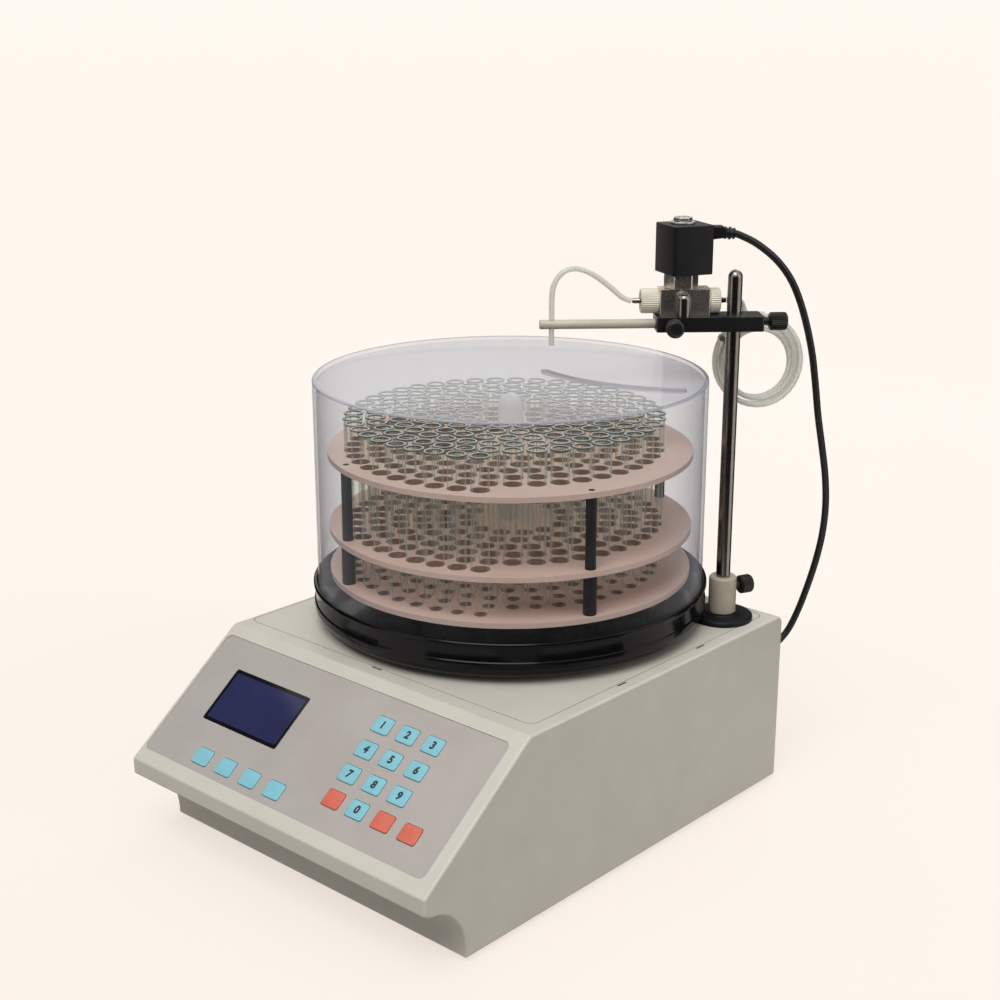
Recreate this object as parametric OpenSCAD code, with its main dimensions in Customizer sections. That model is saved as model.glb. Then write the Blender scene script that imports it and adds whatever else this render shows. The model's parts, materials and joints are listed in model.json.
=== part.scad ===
// Bench fraction collector: a cream instrument case with a keypad, a round black spill dish, a spiral
// tube rack under a clear cover, and a mast whose arm holds a pinch valve and the drip tube.
// Millimetres, +Z up, +X to the right along the front, +Y to the back, standing on its feet at z = 0.

/* [Case] */
// Distance from the rack's axis to the left side
case_left = 155.5; // [152:0.5:170]
// Distance from the rack's axis to the right side
case_right = 183.5; // [180:0.5:195]
// Distance from the rack's axis to the back
case_back = 151.5; // [148:0.5:165]
// Distance from the rack's axis to the front lip
lip_reach = 294; // [285:1:310]
// Distance from the rack's axis to the crease above the keypad
crease_reach = 182; // [178:1:186]
// Distance from the rack's axis to the foot of the front
plinth_reach = 251; // [245:1:260]
// Height of the case above its base
case_h = 152.4; // [150:0.1:160]
// Height of the front lip's upper edge
lip_top = 65.7; // [60:0.1:70]
// Height of the front lip's lower edge
lip_bottom = 49.2; // [45:0.1:55]
// Thickness of the case's walls
wall = 3; // [2.5:0.5:4]
// Height of the rubber feet
foot_h = 3.5; // [2:0.5:6]

/* [Rack] */
// Radius of the three rack discs
disc_r = 155; // [150:1:158]
// Thickness of a rack disc
disc_t = 4.5; // [3:0.5:5]
// Height of the lower disc's top face above the case's base
lower_disc_z = 200.2; // [199:0.1:204]
// Height of the middle disc's top face
middle_disc_z = 238; // [230:1:250]
// Height of the upper disc's top face
upper_disc_z = 302.7; // [295:0.1:305]
// Outer diameter of a test tube
tube_d = 15; // [14:0.5:15]
// Length of a test tube
tube_len = 133; // [125:1:134]
// Distance between neighbouring tubes, and between turns of their spiral
tube_pitch = 19; // [19:0.5:22]
// Distance of the outermost tube from the rack's axis
outer_tube_reach = 137; // [130:1:137]

/* [Dish and cover] */
// Outer radius of the spill dish's rim
dish_r = 170; // [170:0.5:172]
// Height of the dish's rim above the case's base
rim_z = 188.6; // [186:0.1:190]
// Outer radius of the clear cover
cover_r = 166; // [165:0.5:166]
// Height of the cover's top face
cover_top = 363.9; // [362:0.1:370]
// Thickness of the cover's wall and lid
cover_t = 3; // [2:0.5:4]
// Width of the arc slot in the lid
slot_w = 6; // [5:0.5:8]

/* [Mast and head] */
// Distance from the rack's axis to the mast
mast_reach = 184; // [183:0.5:186]
// Direction of the mast from the rack's axis, in degrees
mast_angle = 37; // [35:1:40]
// Diameter of the mast's steel rod
rod_d = 12; // [11.9:0.1:12]
// Height of the rod's top
rod_top = 454.9; // [430:0.1:470]
// Direction of the drip arm, in degrees
arm_angle = 225; // [222:1:228]
// Distance from the rod to the drip tube's tip
drip_reach = 150; // [148:1:152]
// Height of the clamp bar's underside
bar_z = 406; // [404:1:412]
// Height of the clamp bar
bar_h = 12; // [12:1:14]
// Diameter of the drip arm
arm_d = 7.8; // [7:0.1:8]

/* [Soft tubes and cable] */
// Diameter of the soft tubes
hose_d = 4.6; // [4:0.1:4.8]
// Diameter of the valve's cable
cable_d = 6; // [5:0.5:7]
// Outer radius of the coiled inlet tube
coil_r = 39.5; // [36:0.5:40]
// Turns of the coiled inlet tube, half of them in each layer
coil_turns = 4; // [2:2:6]
// How much taller than wide the coil hangs
coil_sag = 1.07; // [1:0.01:1.1]

/* [Hidden] */

// The middle of the footprint is the origin, so the rack's axis stands off it
axis_x = (case_left - case_right + dish_r - case_left) / 2;
axis_y = (lip_reach - dish_r) / 2;
running = 0.05;
gap = 0.3;

// Slope that carries the keypad
slope_run = lip_reach - crease_reach;
slope_fall = case_h - lip_top;
slope_angle = atan2(slope_fall, slope_run);
overlay = [323.5, 119];
overlay_middle = [10, 70];
overlay_t = 1.4;
overlay_sink = 0.6;
window = [90.8, 50];
window_middle = [-71, 61.5];
key_size = [18, 14.5];
key_proud = 0.8;
number_columns = [56, 83, 110];
number_rows = [34.7, 57.6, 80.4, 103];
function_columns = [-87.4, -58.4, -29, 0.2];
function_row = 116;
// Keys 1 to 9 stand in rows of three, with 0 below the middle column
number_places = concat([[number_columns[1], number_rows[3]]],
  [for (k = [0:8]) [number_columns[k % 3], number_rows[floor(k / 3)]]]);
function_places = [for (x = function_columns) [x, function_row]];
red_places = [[57, number_rows[3]], [110.5, number_rows[3]], [138.5, number_rows[3]]];

// Side view of the case, with a hollow cove under the lip
cove = [39, 47];
cove_middle = [-(plinth_reach + cove.x), lip_bottom - cove.y];
case_outline = rounded(concat(
    [for (a = [0:15:75]) cove_middle + [cove.x * cos(a), cove.y * sin(a)]],
    [[-lip_reach + 5, lip_bottom], [-lip_reach, lip_bottom + 3], [-lip_reach, lip_top],
      [-crease_reach, case_h], [case_back, case_h], [case_back, 0], [-plinth_reach, 0]]),
  [0, 0, 0, 0, 0, 0, 2, 2, 6, 8, 5, 0, 0]);
top_wall = 5;
hollow_outline = [[4 - plinth_reach, -1], [3.2 - plinth_reach, 14], [-3.5 - plinth_reach, 32],
  [-13 - plinth_reach, 45], [9 - lip_reach, 53.5], [4 - lip_reach, 55], [4 - lip_reach, lip_top - 0.8],
  [-crease_reach - 1.6, case_h - top_wall], [case_back - wall, case_h - top_wall],
  [case_back - wall, -1]];
inlet_place = [-90, 45];
switch_place = [-48, 45];
screw_places = [[4 + wall - case_left, 8 - plinth_reach], [case_right - wall - 4, 8 - plinth_reach],
  [4 + wall - case_left, case_back - wall - 4], [case_right - wall - 4, case_back - wall - 4]];
foot_places = [[30 - case_left, 36 - plinth_reach], [case_right - 30, 36 - plinth_reach],
  [30 - case_left, case_back - 30], [case_right - 30, case_back - 30]];

// Top plate, set flush in the case
plate_t = 2.5;
plate_low = [-151, -167];
plate_high = [171, 139];
plate_ledge = 5;

// Drive below the top plate
spindle_d = 12;
gear_teeth = 60;
pinion_teeth = 15;
gear_module = 1.5;
gear_z = 110;
gear_t = 8;
pinion_angle = 200;
pinion_reach = (gear_teeth + pinion_teeth) * gear_module / 2;
motor_w = 36;
motor_bore = 8;

// Spindle's housing, with a bearing in each end
housing_flange_t = 3.5;
housing_top = 184;
housing_bottom = 122;
bearing_h = 9;
hub_top = lower_disc_z - disc_t - 0.1;

// Rack
post_reach = 148;
post_angles = [67, 157, 247, 337];
seat_depth = 2.2;
lip_h = 1.6;
tube_bottom = lower_disc_z - seat_depth;
outer_tube_angle = -58;
inner_tube_reach = 36;
spiral_rise = tube_pitch / (2 * PI);
spiral_out = outer_tube_reach / spiral_rise;
spiral_in = inner_tube_reach / spiral_rise;
tube_count = floor((pow(spiral_out, 2) - pow(spiral_in, 2)) * spiral_rise / (2 * tube_pitch));
tube_turns = [for (i = [0:tube_count]) sqrt(pow(spiral_out, 2) - 2 * i * tube_pitch / spiral_rise)];
tube_places = [for (t = tube_turns) let (a = outer_tube_angle + (t - spiral_out) * 180 / PI)
  [spiral_rise * t * cos(a), spiral_rise * t * sin(a)]];

// Dish and cover
ledge_z = 176;
floor_z = 157.4;
floor_t = 3;
slot_centre_angle = 73;
slot_from = 253;
slot_to = 305;
slot_turn = slot_to - slot_from;
slot_steps = 20;
round_end = [22.5:22.5:157.5];
slot_outline = concat(
  [for (i = [0:slot_steps]) on_circle(drip_reach + slot_w / 2, slot_from + slot_turn * i / slot_steps)],
  [for (a = round_end) on_circle(drip_reach, slot_to) + on_circle(slot_w / 2, slot_to + a)],
  [for (i = [0:slot_steps]) on_circle(drip_reach - slot_w / 2, slot_to - slot_turn * i / slot_steps)],
  [for (a = round_end) on_circle(drip_reach, slot_from) + on_circle(slot_w / 2, slot_from + 180 + a)]);

// Mast
socket_top = 190.8;
socket_z = case_h + 6.6;
socket_r = 11.8;
mast_screw_z = 180;
mast_screw_angle = 66 - arm_angle;

// Head, in its own directions: x out along the arm, y towards the front, z up
arm_z = bar_z + 5;
bar_from = -23;
bar_to = 65;
bar_depth = 28;
valve_x = 40.7;
valve_y = -8;
valve_w = 41.6;
valve_depth = 20;
valve_h = 21;
port_z = bar_z + bar_h + valve_h / 2;
stem_x = 43.3;
coil_x = 41.5;
coil_w = 36;
coil_h = 40;
hex_h = 12.5;
coil_z = bar_z + bar_h + valve_h + hex_h;
arm_screw_x = 52;
left_barb_end = 83.2;
right_barb_end = 5.7;

// Routes of the drip tube and the inlet tube, in the head's directions
drip_route = [[84, -8, 428.5], [88, -8, 429.8], [92, -7.8, 431.8], [98, -7.2, 437], [107, -6, 444.5],
  [118, -4.5, 452], [129, -3, 456], [138, -1.8, 455], [145, -0.8, 449.5], [149, -0.2, 441],
  [150, 0, 430], [150, 0, 418], [150, 0, 406], [150, 0, 393.5]];
inlet_route = [[5, -8, 428.5], [1, -8.7, 428.5], [-3, -9.8, 428.2], [-6.5, -12, 427], [-9, -14.6, 424.6],
  [-10.6, -16.4, 421.3], [-12, -17.2, 418], [-14.4, -17.4, 415], [-19.9, -17.4, 413.7]];
coil_layer = 5.2;
coil_pitch = 5.5;
coil_steps = 24;
coil_core_r = coil_r - hose_d / 2;
coil_centre = [-25.5, -17.4, 413.7 - coil_sag * coil_core_r];

// The coiled tube winds in through one layer and out again through the next. It climbs from the first
// layer to the second in the half turn where the spiral reverses.
coil_half = coil_turns / 2;
coil_climb = 0.25;
function coil_radius(t) = coil_core_r - coil_pitch * (coil_half - abs(t - coil_half));
function coil_depth(t) =
  let (k = max(0, min(1, (t - coil_half + coil_climb) / (2 * coil_climb))))
  coil_layer * k * k * (3 - 2 * k);
function coil_point(t) =
  let (r = coil_radius(t), a = 90 + 360 * t)
  coil_centre + [r * cos(a), -coil_depth(t), coil_sag * r * sin(a)];
coil_loops = [for (i = [0:coil_turns * coil_steps]) coil_point(i / coil_steps)];
coil_last = coil_loops[len(coil_loops) - 1];
coil_path = concat([coil_loops[0] + [hose_d, 0, 0]], coil_loops, [coil_last - [hose_d, 0, 0]]);
// The least gap between points at least half a turn apart
coil_gap = min([for (i = [0:len(coil_loops) - 1], j = [i + coil_steps / 2:1:len(coil_loops) - 1])
  norm(coil_loops[i] - coil_loops[j])]) - hose_d;
echo(coil_gap = coil_gap, tubes = len(tube_places), gear_centres = pinion_reach);

// Route of the valve's cable, from the case's gland to the boss on the valve's solenoid
gland_place = [154, 104];
gland_len = 10;
cable_route = [[154, 161.5, 104], [154.2, 168, 104], [155.5, 176, 105.4], [159, 184.5, 110.5],
  [163.5, 193.5, 121], [168, 200.5, 138], [173, 205.5, 160], [178.5, 208.5, 185], [183.5, 209, 212],
  [187, 206, 240], [188.5, 200, 268], [188, 193, 295], [186.6, 185.5, 325], [185.6, 179.5, 355],
  [183.6, 173.5, 385], [178.6, 165.5, 417], [172.6, 156, 442], [164, 145.2, 460],
  [153.5, 132, 473.5], [145, 121.5, 480.6], [139.6, 116.3, 483.2], [136, 112.6, 483.5]];

// ---- helpers ----

// Moves a shape from the rack's axis at the case's base to its place
module placed() {
  translate([axis_x, axis_y, foot_h])
    children();
}

function unit(v) = v / norm(v);

function on_circle(r, angle) = r * [cos(angle), sin(angle)];

// Points of a round corner of radius r at b, between the lines from a and to c
function round_corner(a, b, c, r, n) =
  let (
    u = unit(a - b),
    v = unit(c - b),
    half = acos(u * v) / 2,
    centre = b + unit(u + v) * r / sin(half),
    first = b + u * r / tan(half) - centre,
    last = b + v * r / tan(half) - centre,
    from = atan2(first.y, first.x),
    turn = (atan2(last.y, last.x) - from + 540) % 360 - 180
  )
  [for (i = [0:n]) centre + r * [cos(from + turn * i / n), sin(from + turn * i / n)]];

// An outline with its corners rounded, each by its own radius
function rounded(points, radii, n = 4) =
  let (count = len(points))
  [for (i = [0:count - 1])
    each radii[i] > 0
      ? round_corner(points[(i + count - 1) % count], points[i], points[(i + 1) % count], radii[i], n)
      : [points[i]]];

// A flat plate with round corners, from its low corner to its high corner
module round_plate(low, high, r, t, n = 4) {
  linear_extrude(t)
    polygon(rounded([low, [high.x, low.y], high, [low.x, high.y]], [r, r, r, r], n));
}

module centred_plate(size, r, t) {
  round_plate(-size / 2, size / 2, r, t);
}

// Runs a side view of Y and Z along X, from one side to the other
module along_x(from, to) {
  translate([from, 0, 0])
    rotate([90, 0, 90])
      linear_extrude(to - from)
        children();
}

// Puts a shape on the keypad's slope, x across and y down from the crease, z out of the slope
module on_slope(place, z = 0) {
  translate([0, -crease_reach, case_h])
    rotate([slope_angle, 0, 0])
      translate([place.x, -place.y, z])
        children();
}

// Puts a shape at the mast, x out along the arm
module at_mast() {
  placed()
    rotate([0, 0, mast_angle])
      translate([mast_reach, 0, 0])
        rotate([0, 0, arm_angle - mast_angle])
          children();
}

module lying_x() {
  rotate([0, 90, 0])
    children();
}

module lying_y() {
  rotate([-90, 0, 0])
    children();
}

// A smooth curve through a route's points
function curve_point(route, i, t) =
  let (
    last = len(route) - 1,
    p1 = route[i],
    p2 = route[i + 1],
    p0 = i > 0 ? route[i - 1] : 2 * p1 - p2,
    p3 = i + 1 < last ? route[i + 2] : 2 * p2 - p1
  )
  ((2 * p1) + (p2 - p0) * t + (2 * p0 - 5 * p1 + 4 * p2 - p3) * t * t
    + (3 * p1 - p0 - 3 * p2 + p3) * t * t * t) / 2;

function curve(route, steps) =
  concat([for (i = [0:len(route) - 2], k = [0:steps - 1]) curve_point(route, i, k / steps)],
    [route[len(route) - 1]]);

function headings(path) =
  let (last = len(path) - 1)
  [for (i = [0:last]) unit(path[min(i + 1, last)] - path[max(i - 1, 0)])];

// The side direction of every ring, carried along the path without twist
function carried(heading, side, i = 0) =
  i == len(heading) ? []
    : let (now = unit(side - (side * heading[i]) * heading[i]))
      concat([now], carried(heading, now, i + 1));

// A round tube of n sides swept along a path
module swept_tube(path, d, n, side = [0, 0, 1]) {
  heading = headings(path);
  across = carried(heading, side);
  rings = len(path);
  points = [for (i = [0:rings - 1], k = [0:n - 1])
    path[i] + d / 2 * (cos(360 * k / n) * across[i] + sin(360 * k / n) * cross(heading[i], across[i]))];
  sides = [for (i = [0:rings - 2], k = [0:n - 1])
    let (a = i * n + k, b = i * n + (k + 1) % n)
    each [[a, b + n, b], [a, a + n, b + n]]];
  first_end = [for (k = [1:n - 2]) [0, k, k + 1]];
  last_end = [for (k = [1:n - 2]) [0, k + 1, k] + (rings - 1) * n * [1, 1, 1]];
  polyhedron(points, concat(sides, first_end, last_end));
}

// ---- case ----

module case_solid() {
  intersection() {
    along_x(-case_left, case_right)
      polygon(case_outline);
    translate([0, 0, -1])
      round_plate([-case_left, -lip_reach - 1], [case_right, case_back], 7, case_h + 2, 5);
  }
}

module rear_openings() {
  translate([inlet_place.x, case_back, inlet_place.y])
    cube([28.4, 20, 20.4], center = true);
  translate([switch_place.x, case_back, switch_place.y])
    cube([16.4, 20, 23.4], center = true);
  translate([gland_place.x, case_back - 10, gland_place.y])
    lying_y()
      cylinder(h = 20, r = 6.1);
}

module case_shell() {
  color("#CBC7B7")
    placed()
      difference() {
        union() {
          difference() {
            case_solid();
            along_x(wall - case_left, case_right - wall)
              polygon(hollow_outline);
          }
          for (p = screw_places)
            translate([p.x, p.y, 2])
              cylinder(h = 20, r = 5);
        }
        for (p = screw_places)
          translate([p.x, p.y, 1])
            cylinder(h = 15, r = 1.7);
        translate([0, 0, case_h - plate_t - 0.1])
          round_plate(plate_low - [gap, gap], plate_high + [gap, gap], 8, 10);
        translate([0, 0, case_h - 10])
          round_plate(plate_low + [1, 1] * plate_ledge, plate_high - [1, 1] * plate_ledge, 5, 20);
        on_slope(overlay_middle, -overlay_t - overlay_sink)
          centred_plate(overlay + [1, 1] * gap, 6, 10);
        on_slope(overlay_middle, -12)
          centred_plate(overlay - [16, 8], 3, 20);
        rear_openings();
      }
}

module top_plate() {
  color("#C9C5B5")
    placed()
      difference() {
        translate([0, 0, case_h - plate_t])
          round_plate(plate_low, plate_high, 8, plate_t);
        translate([0, 0, case_h - 5])
          cylinder(h = 10, r = 18.3);
        rotate([0, 0, mast_angle])
          translate([mast_reach, 0, case_h - 5])
            cylinder(h = 10, r = 14.1);
        for (a = [45:90:315])
          rotate([0, 0, a])
            translate([32, 0, case_h - 5])
              cylinder(h = 10, r = 1.7);
      }
}

module base_plate() {
  color("silver")
    placed()
      difference() {
        round_plate([wall + gap - case_left, wall + 1.6 - plinth_reach],
          [case_right - wall - gap, case_back - wall - gap], 3, 2);
        for (p = screw_places)
          translate([p.x, p.y, -1])
            cylinder(h = 4, r = 2.1);
      }
}

module rubber_feet() {
  color("#222222")
    placed()
      for (p = foot_places)
        translate([p.x, p.y, -foot_h])
          rotate_extrude()
            polygon([[0, 0], [8, 0], [9, 1], [9, foot_h], [0, foot_h]]);
}

// Pan-head screws: four hold the base, four hold the spindle's housing
module pan_screw(len, r, head_r, head_h) {
  translate([0, 0, -head_h])
    cylinder(h = head_h, r = head_r);
  cylinder(h = len, r = r);
}

module case_screws() {
  color("#8C8C8C")
    placed() {
      for (p = screw_places)
        translate([p.x, p.y, 0])
          pan_screw(12, 1.6, 3.4, 1.2);
      for (a = [45:90:315])
        rotate([0, 0, a])
          translate([32, 0, case_h + housing_flange_t])
            rotate([180, 0, 0])
              pan_screw(8, 1.6, 3.4, 1.2);
    }
}

// ---- keypad ----

module panel_overlay() {
  color("#AFA8A1")
    placed()
      difference() {
        on_slope(overlay_middle, -overlay_t - overlay_sink)
          centred_plate(overlay, 6, overlay_t);
        on_slope(window_middle, -5)
          centred_plate(window + [1, 1] * gap, 2, 10);
        for (p = concat(number_places, function_places, red_places))
          on_slope(p, -5)
            centred_plate(key_size + [1, 1] * 2 * gap, 2.2, 10);
      }
}

module display_window() {
  color("#33345A")
    placed()
      on_slope(window_middle, -overlay_sink - 2)
        centred_plate(window - [1, 1] * gap, 2, 1.9);
}

// A key: a round-cornered cap through the overlay, with a rim behind it
module key(place) {
  placed()
    on_slope(place, -overlay_t - overlay_sink - 1) {
      centred_plate(key_size, 2, overlay_t + key_proud + 1);
      centred_plate(key_size + [2, 2], 2, 0.9);
    }
}

module control_board() {
  board_z = -overlay_t - overlay_sink - 5.6;
  color("#2F6B45")
    placed() {
      on_slope(overlay_middle, board_z)
        centred_plate(overlay - [30, 22], 3, 1.6);
      on_slope(window_middle, board_z + 1.6)
        centred_plate(window - [4, 4], 1, 3);
      for (p = concat(number_places, function_places, red_places))
        on_slope(p, board_z + 1.6)
          centred_plate([6, 6], 1, 1.8);
      for (x = [-138, 20, 158], y = [25, 117])
        on_slope([x, y], board_z + 1.6)
          cylinder(h = 4, r = 2.5);
    }
}

module power_transformer() {
  color("#6A5A4A")
    placed()
      translate([-95, 70, 2]) {
        translate([-30, -25, 0])
          cube([60, 50, 52]);
        translate([0, 0, 8])
          centred_plate([46, 70], 6, 36);
      }
}

// The mains inlet and the switch's frame, in the back
module power_inlet() {
  color("#1C1C1C")
    placed() {
      difference() {
        union() {
          translate([inlet_place.x - 14, case_back - 22, inlet_place.y - 10])
            cube([28, 22, 20]);
          translate([inlet_place.x - 17, case_back, inlet_place.y - 13])
            cube([34, 2.5, 26]);
        }
        translate([inlet_place.x - 12, case_back - 15, inlet_place.y - 8])
          cube([24, 30, 16]);
      }
      for (p = [[-7, -2.5], [0, 2.5], [7, -2.5]])
        translate([inlet_place.x + p.x - 1, case_back - 16, inlet_place.y + p.y - 2])
          cube([2, 9, 4]);
      difference() {
        union() {
          translate([switch_place.x - 8, case_back - 12, switch_place.y - 11.5])
            cube([16, 12, 23]);
          translate([switch_place.x - 10, case_back, switch_place.y - 13.5])
            cube([20, 2, 27]);
        }
        translate([switch_place.x - 6.5, case_back - 10, switch_place.y - 10])
          cube([13, 20, 20]);
      }
    }
}

// A rocker that lies on one side, so its joint turns it onto the other
module power_switch() {
  color("#1C1C1C")
    placed()
      translate([switch_place.x, case_back - 2, switch_place.y])
        rotate([10, 0, 0])
          along_x(-6, 6)
            polygon([[0, -9], [6.2, -7.5], [4.2, 0], [6.2, 7.5], [0, 9], [-6, 0]]);
}

// ---- dish, spindle and drive ----

module spill_dish() {
  inner_r = cover_r - cover_t - 1.5;
  ledge_r = cover_r + 0.6;
  underside = [[160, floor_z], [164, floor_z + 1.2], [166.8, floor_z + 4], [168, floor_z + 8],
    [dish_r - 0.4, floor_z + 9], [dish_r - 0.4, floor_z + 14.6], [dish_r - 1.4, floor_z + 15.6],
    [dish_r - 1.4, rim_z - 4], [dish_r, rim_z - 3], [dish_r, rim_z - 1], [dish_r - 0.8, rim_z]];
  inside = [[ledge_r + 0.8, rim_z], [ledge_r, rim_z - 1], [ledge_r, ledge_z], [inner_r, ledge_z],
    [inner_r, floor_z + 10], [inner_r - 1.6, floor_z + 5.4], [inner_r - 6, floor_z + floor_t],
    [25, floor_z + floor_t], [25, 178], [22, 178], [22, floor_z]];
  color("#141414")
    placed()
      rotate_extrude()
        polygon(concat([[120, floor_z], [120, case_h], [126, case_h], [126, floor_z]],
          underside, inside));
}

module spindle_housing() {
  color("#9A9A9A")
    placed() {
      difference() {
        rotate_extrude()
          polygon([[12, housing_bottom + bearing_h], [14, housing_bottom + bearing_h],
            [14, housing_bottom], [18, housing_bottom], [18, case_h], [40, case_h],
            [40, case_h + housing_flange_t], [18, case_h + housing_flange_t], [18, housing_top],
            [14, housing_top], [14, housing_top - bearing_h], [12, housing_top - bearing_h]]);
        for (a = [45:90:315])
          rotate([0, 0, a])
            translate([32, 0, case_h - 5])
              cylinder(h = 20, r = 1.7);
      }
      // Two ball bearings in the housing's ends
      for (z = [housing_bottom, housing_top - bearing_h])
        translate([0, 0, z + 0.1])
          difference() {
            cylinder(h = bearing_h - 0.2, r = 14 - 0.02);
            translate([0, 0, -1])
              cylinder(h = bearing_h + 2, r = spindle_d / 2 + running);
          }
    }
}

module spindle() {
  color("silver")
    placed()
      rotate_extrude()
        polygon([[0, gear_z - 4], [spindle_d / 2, gear_z - 4], [spindle_d / 2, housing_top + gap],
          [9, housing_top + gap], [9, hub_top - 8], [24, hub_top - 8], [24, hub_top],
          [spindle_d / 2, hub_top], [spindle_d / 2, 230], [spindle_d / 2 - 2, 233], [0, 233]]);
}

// Outline of a spur gear whose teeth have straight flanks
function gear_outline(teeth, first = 0) =
  let (
    r = teeth * gear_module / 2,
    step = 360 / teeth,
    tip = r + 0.85 * gear_module,
    root = r - 1.15 * gear_module
  )
  [for (i = [0:teeth - 1]) let (a = first + i * step)
    each [root * [cos(a - 0.36 * step), sin(a - 0.36 * step)],
      tip * [cos(a - 0.1 * step), sin(a - 0.1 * step)],
      tip * [cos(a + 0.1 * step), sin(a + 0.1 * step)],
      root * [cos(a + 0.36 * step), sin(a + 0.36 * step)]]];

// A tooth of the gear points at the pinion
module drive_gear() {
  color("#D8D2C0")
    placed()
      difference() {
        union() {
          translate([0, 0, gear_z])
            linear_extrude(gear_t)
              polygon(gear_outline(gear_teeth, pinion_angle));
          translate([0, 0, gear_z])
            cylinder(h = gear_t + 3, r = 11);
        }
        translate([0, 0, gear_z - 1])
          cylinder(h = gear_t + 6, r = spindle_d / 2 + 0.02);
      }
}

// A gap of the pinion meets that tooth
module drive_pinion() {
  color("#D8D2C0")
    placed()
      rotate([0, 0, pinion_angle])
        translate([pinion_reach, 0, gear_z]) {
          linear_extrude(gear_t)
            polygon(gear_outline(pinion_teeth, 180 + 180 / pinion_teeth));
          cylinder(h = 36, r = motor_bore);
        }
}

module hollow_motor() {
  difference() {
    translate([0, 0, case_h - plate_t - 25])
      centred_plate([motor_w, motor_w], 4, 25);
    translate([0, 0, case_h - plate_t - 30])
      cylinder(h = 40, r = motor_bore + running);
  }
}

// Two alike hollow-shaft gear motors, one for the rack and one for the mast
module drive_motors() {
  color("#3A3A3A")
    placed() {
      rotate([0, 0, pinion_angle])
        translate([pinion_reach, 0, 0])
          hollow_motor();
      rotate([0, 0, mast_angle])
        translate([mast_reach, 0, 0])
          rotate([0, 0, -mast_angle])
            hollow_motor();
    }
}

module mast_bearing() {
  color("#161616")
    at_mast()
      rotate_extrude()
        polygon([[motor_bore + running, case_h - plate_t], [14, case_h - plate_t], [14, case_h],
          [26.5, case_h], [26.5, case_h + 3.4], [25.2, case_h + 4.6], [23.5, case_h + 4.6],
          [20, case_h + 5.6], [16, case_h + 5.6], [15, case_h + 6.5],
          [motor_bore + running, case_h + 6.5]]);
}

module cable_gland() {
  color("#181818")
    placed()
      translate([gland_place.x, case_back, gland_place.y])
        lying_y()
          difference() {
            union() {
              translate([0, 0, -8])
                cylinder(h = 8, r = 6);
              translate([0, 0, -wall - 4])
                cylinder(h = 4, r = 9, $fn = 6);
              cylinder(h = 4, r = 9, $fn = 6);
              translate([0, 0, 4])
                cylinder(h = gland_len - 4, r = 7);
            }
            translate([0, 0, -20])
              cylinder(h = 40, r = cable_d / 2 - 0.2);
          }
}

// ---- rack ----

module rack_disc(top, hole_r) {
  color("#C9B1A3")
    placed()
      translate([0, 0, top - disc_t])
        linear_extrude(disc_t)
          difference() {
            circle(disc_r);
            circle(9);
            for (p = tube_places)
              translate(p)
                circle(hole_r);
            for (a = post_angles)
              rotate([0, 0, a])
                translate([post_reach, 0])
                  circle(2.6);
          }
}

module upper_disc() {
  rack_disc(upper_disc_z, tube_d / 2 + 0.5);
}

module middle_disc() {
  rack_disc(middle_disc_z, tube_d / 2 + 0.5);
}

// A tube's round bottom rests in a smaller hole
module lower_disc() {
  rack_disc(lower_disc_z, 5.5);
}

// Four threaded posts, with spacers between the discs and a nut below the lowest
module rack_posts() {
  color("#161616")
    placed()
      for (a = post_angles)
        rotate([0, 0, a])
          translate([post_reach, 0, 0])
            rotate_extrude()
              polygon([[0, lower_disc_z - disc_t - 6], [2.5, lower_disc_z - disc_t - 6],
                [2.5, lower_disc_z - disc_t - 4], [4.5, lower_disc_z - disc_t - 4],
                [4.5, lower_disc_z - disc_t], [2.5, lower_disc_z - disc_t], [2.5, lower_disc_z],
                [5.5, lower_disc_z], [5.5, middle_disc_z - disc_t], [2.5, middle_disc_z - disc_t],
                [2.5, middle_disc_z], [4.4, middle_disc_z], [4.4, upper_disc_z - disc_t],
                [2.5, upper_disc_z - disc_t], [2.5, upper_disc_z + 0.3], [0, upper_disc_z + 0.3]]);
}

// A hollow column that slides on the spindle, with a knob to lift the rack by
module rack_handle() {
  color("#B9B4AC")
    placed()
      rotate_extrude()
        polygon([[spindle_d / 2 + running, lower_disc_z - disc_t], [9 - 0.02, lower_disc_z - disc_t],
          [9 - 0.02, upper_disc_z + 20], [10.5, upper_disc_z + 22], [10.5, upper_disc_z + 34.5],
          [9.1, upper_disc_z + 39.7], [5.3, upper_disc_z + 43.5], [0, upper_disc_z + 44.9],
          [0, 236], [spindle_d / 2 + running, 234]]);
}

// The same stretch of every test tube: rings of outer radius r, or discs where the bore is 0
module tube_stretch(from, to, r, bore) {
  translate([0, 0, tube_bottom + from])
    linear_extrude(to - from)
      difference() {
        for (p = tube_places)
          translate(p)
            circle(r);
        if (bore > 0)
          for (p = tube_places)
            translate(p)
              circle(bore);
      }
}

// Glass tubes with a rolled lip, whose bottoms narrow in two steps and rest on the lower disc
module test_tubes() {
  r = tube_d / 2;
  color("#D5DCD2")
    placed() {
      tube_stretch(0, seat_depth, 5.2, 0);
      tube_stretch(seat_depth, seat_depth + 2.4, r - 0.8, 0);
      tube_stretch(seat_depth + 2.4, tube_len - lip_h, r, r - 1);
      tube_stretch(tube_len - lip_h, tube_len, r + 1.3, r - 1);
    }
}

module clear_cover() {
  color("#E4E4EC")
    placed()
      difference() {
        rotate_extrude()
          polygon([[cover_r - cover_t, ledge_z + 0.1], [cover_r, ledge_z + 0.1], [cover_r, cover_top - 1],
            [cover_r - 1, cover_top], [0, cover_top], [0, cover_top - cover_t],
            [cover_r - cover_t, cover_top - cover_t]]);
        rotate([0, 0, slot_centre_angle])
          translate([mast_reach, 0, cover_top - cover_t - 1])
            rotate([0, 0, -slot_centre_angle])
              linear_extrude(cover_t + 2)
                polygon(slot_outline);
      }
}

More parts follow.
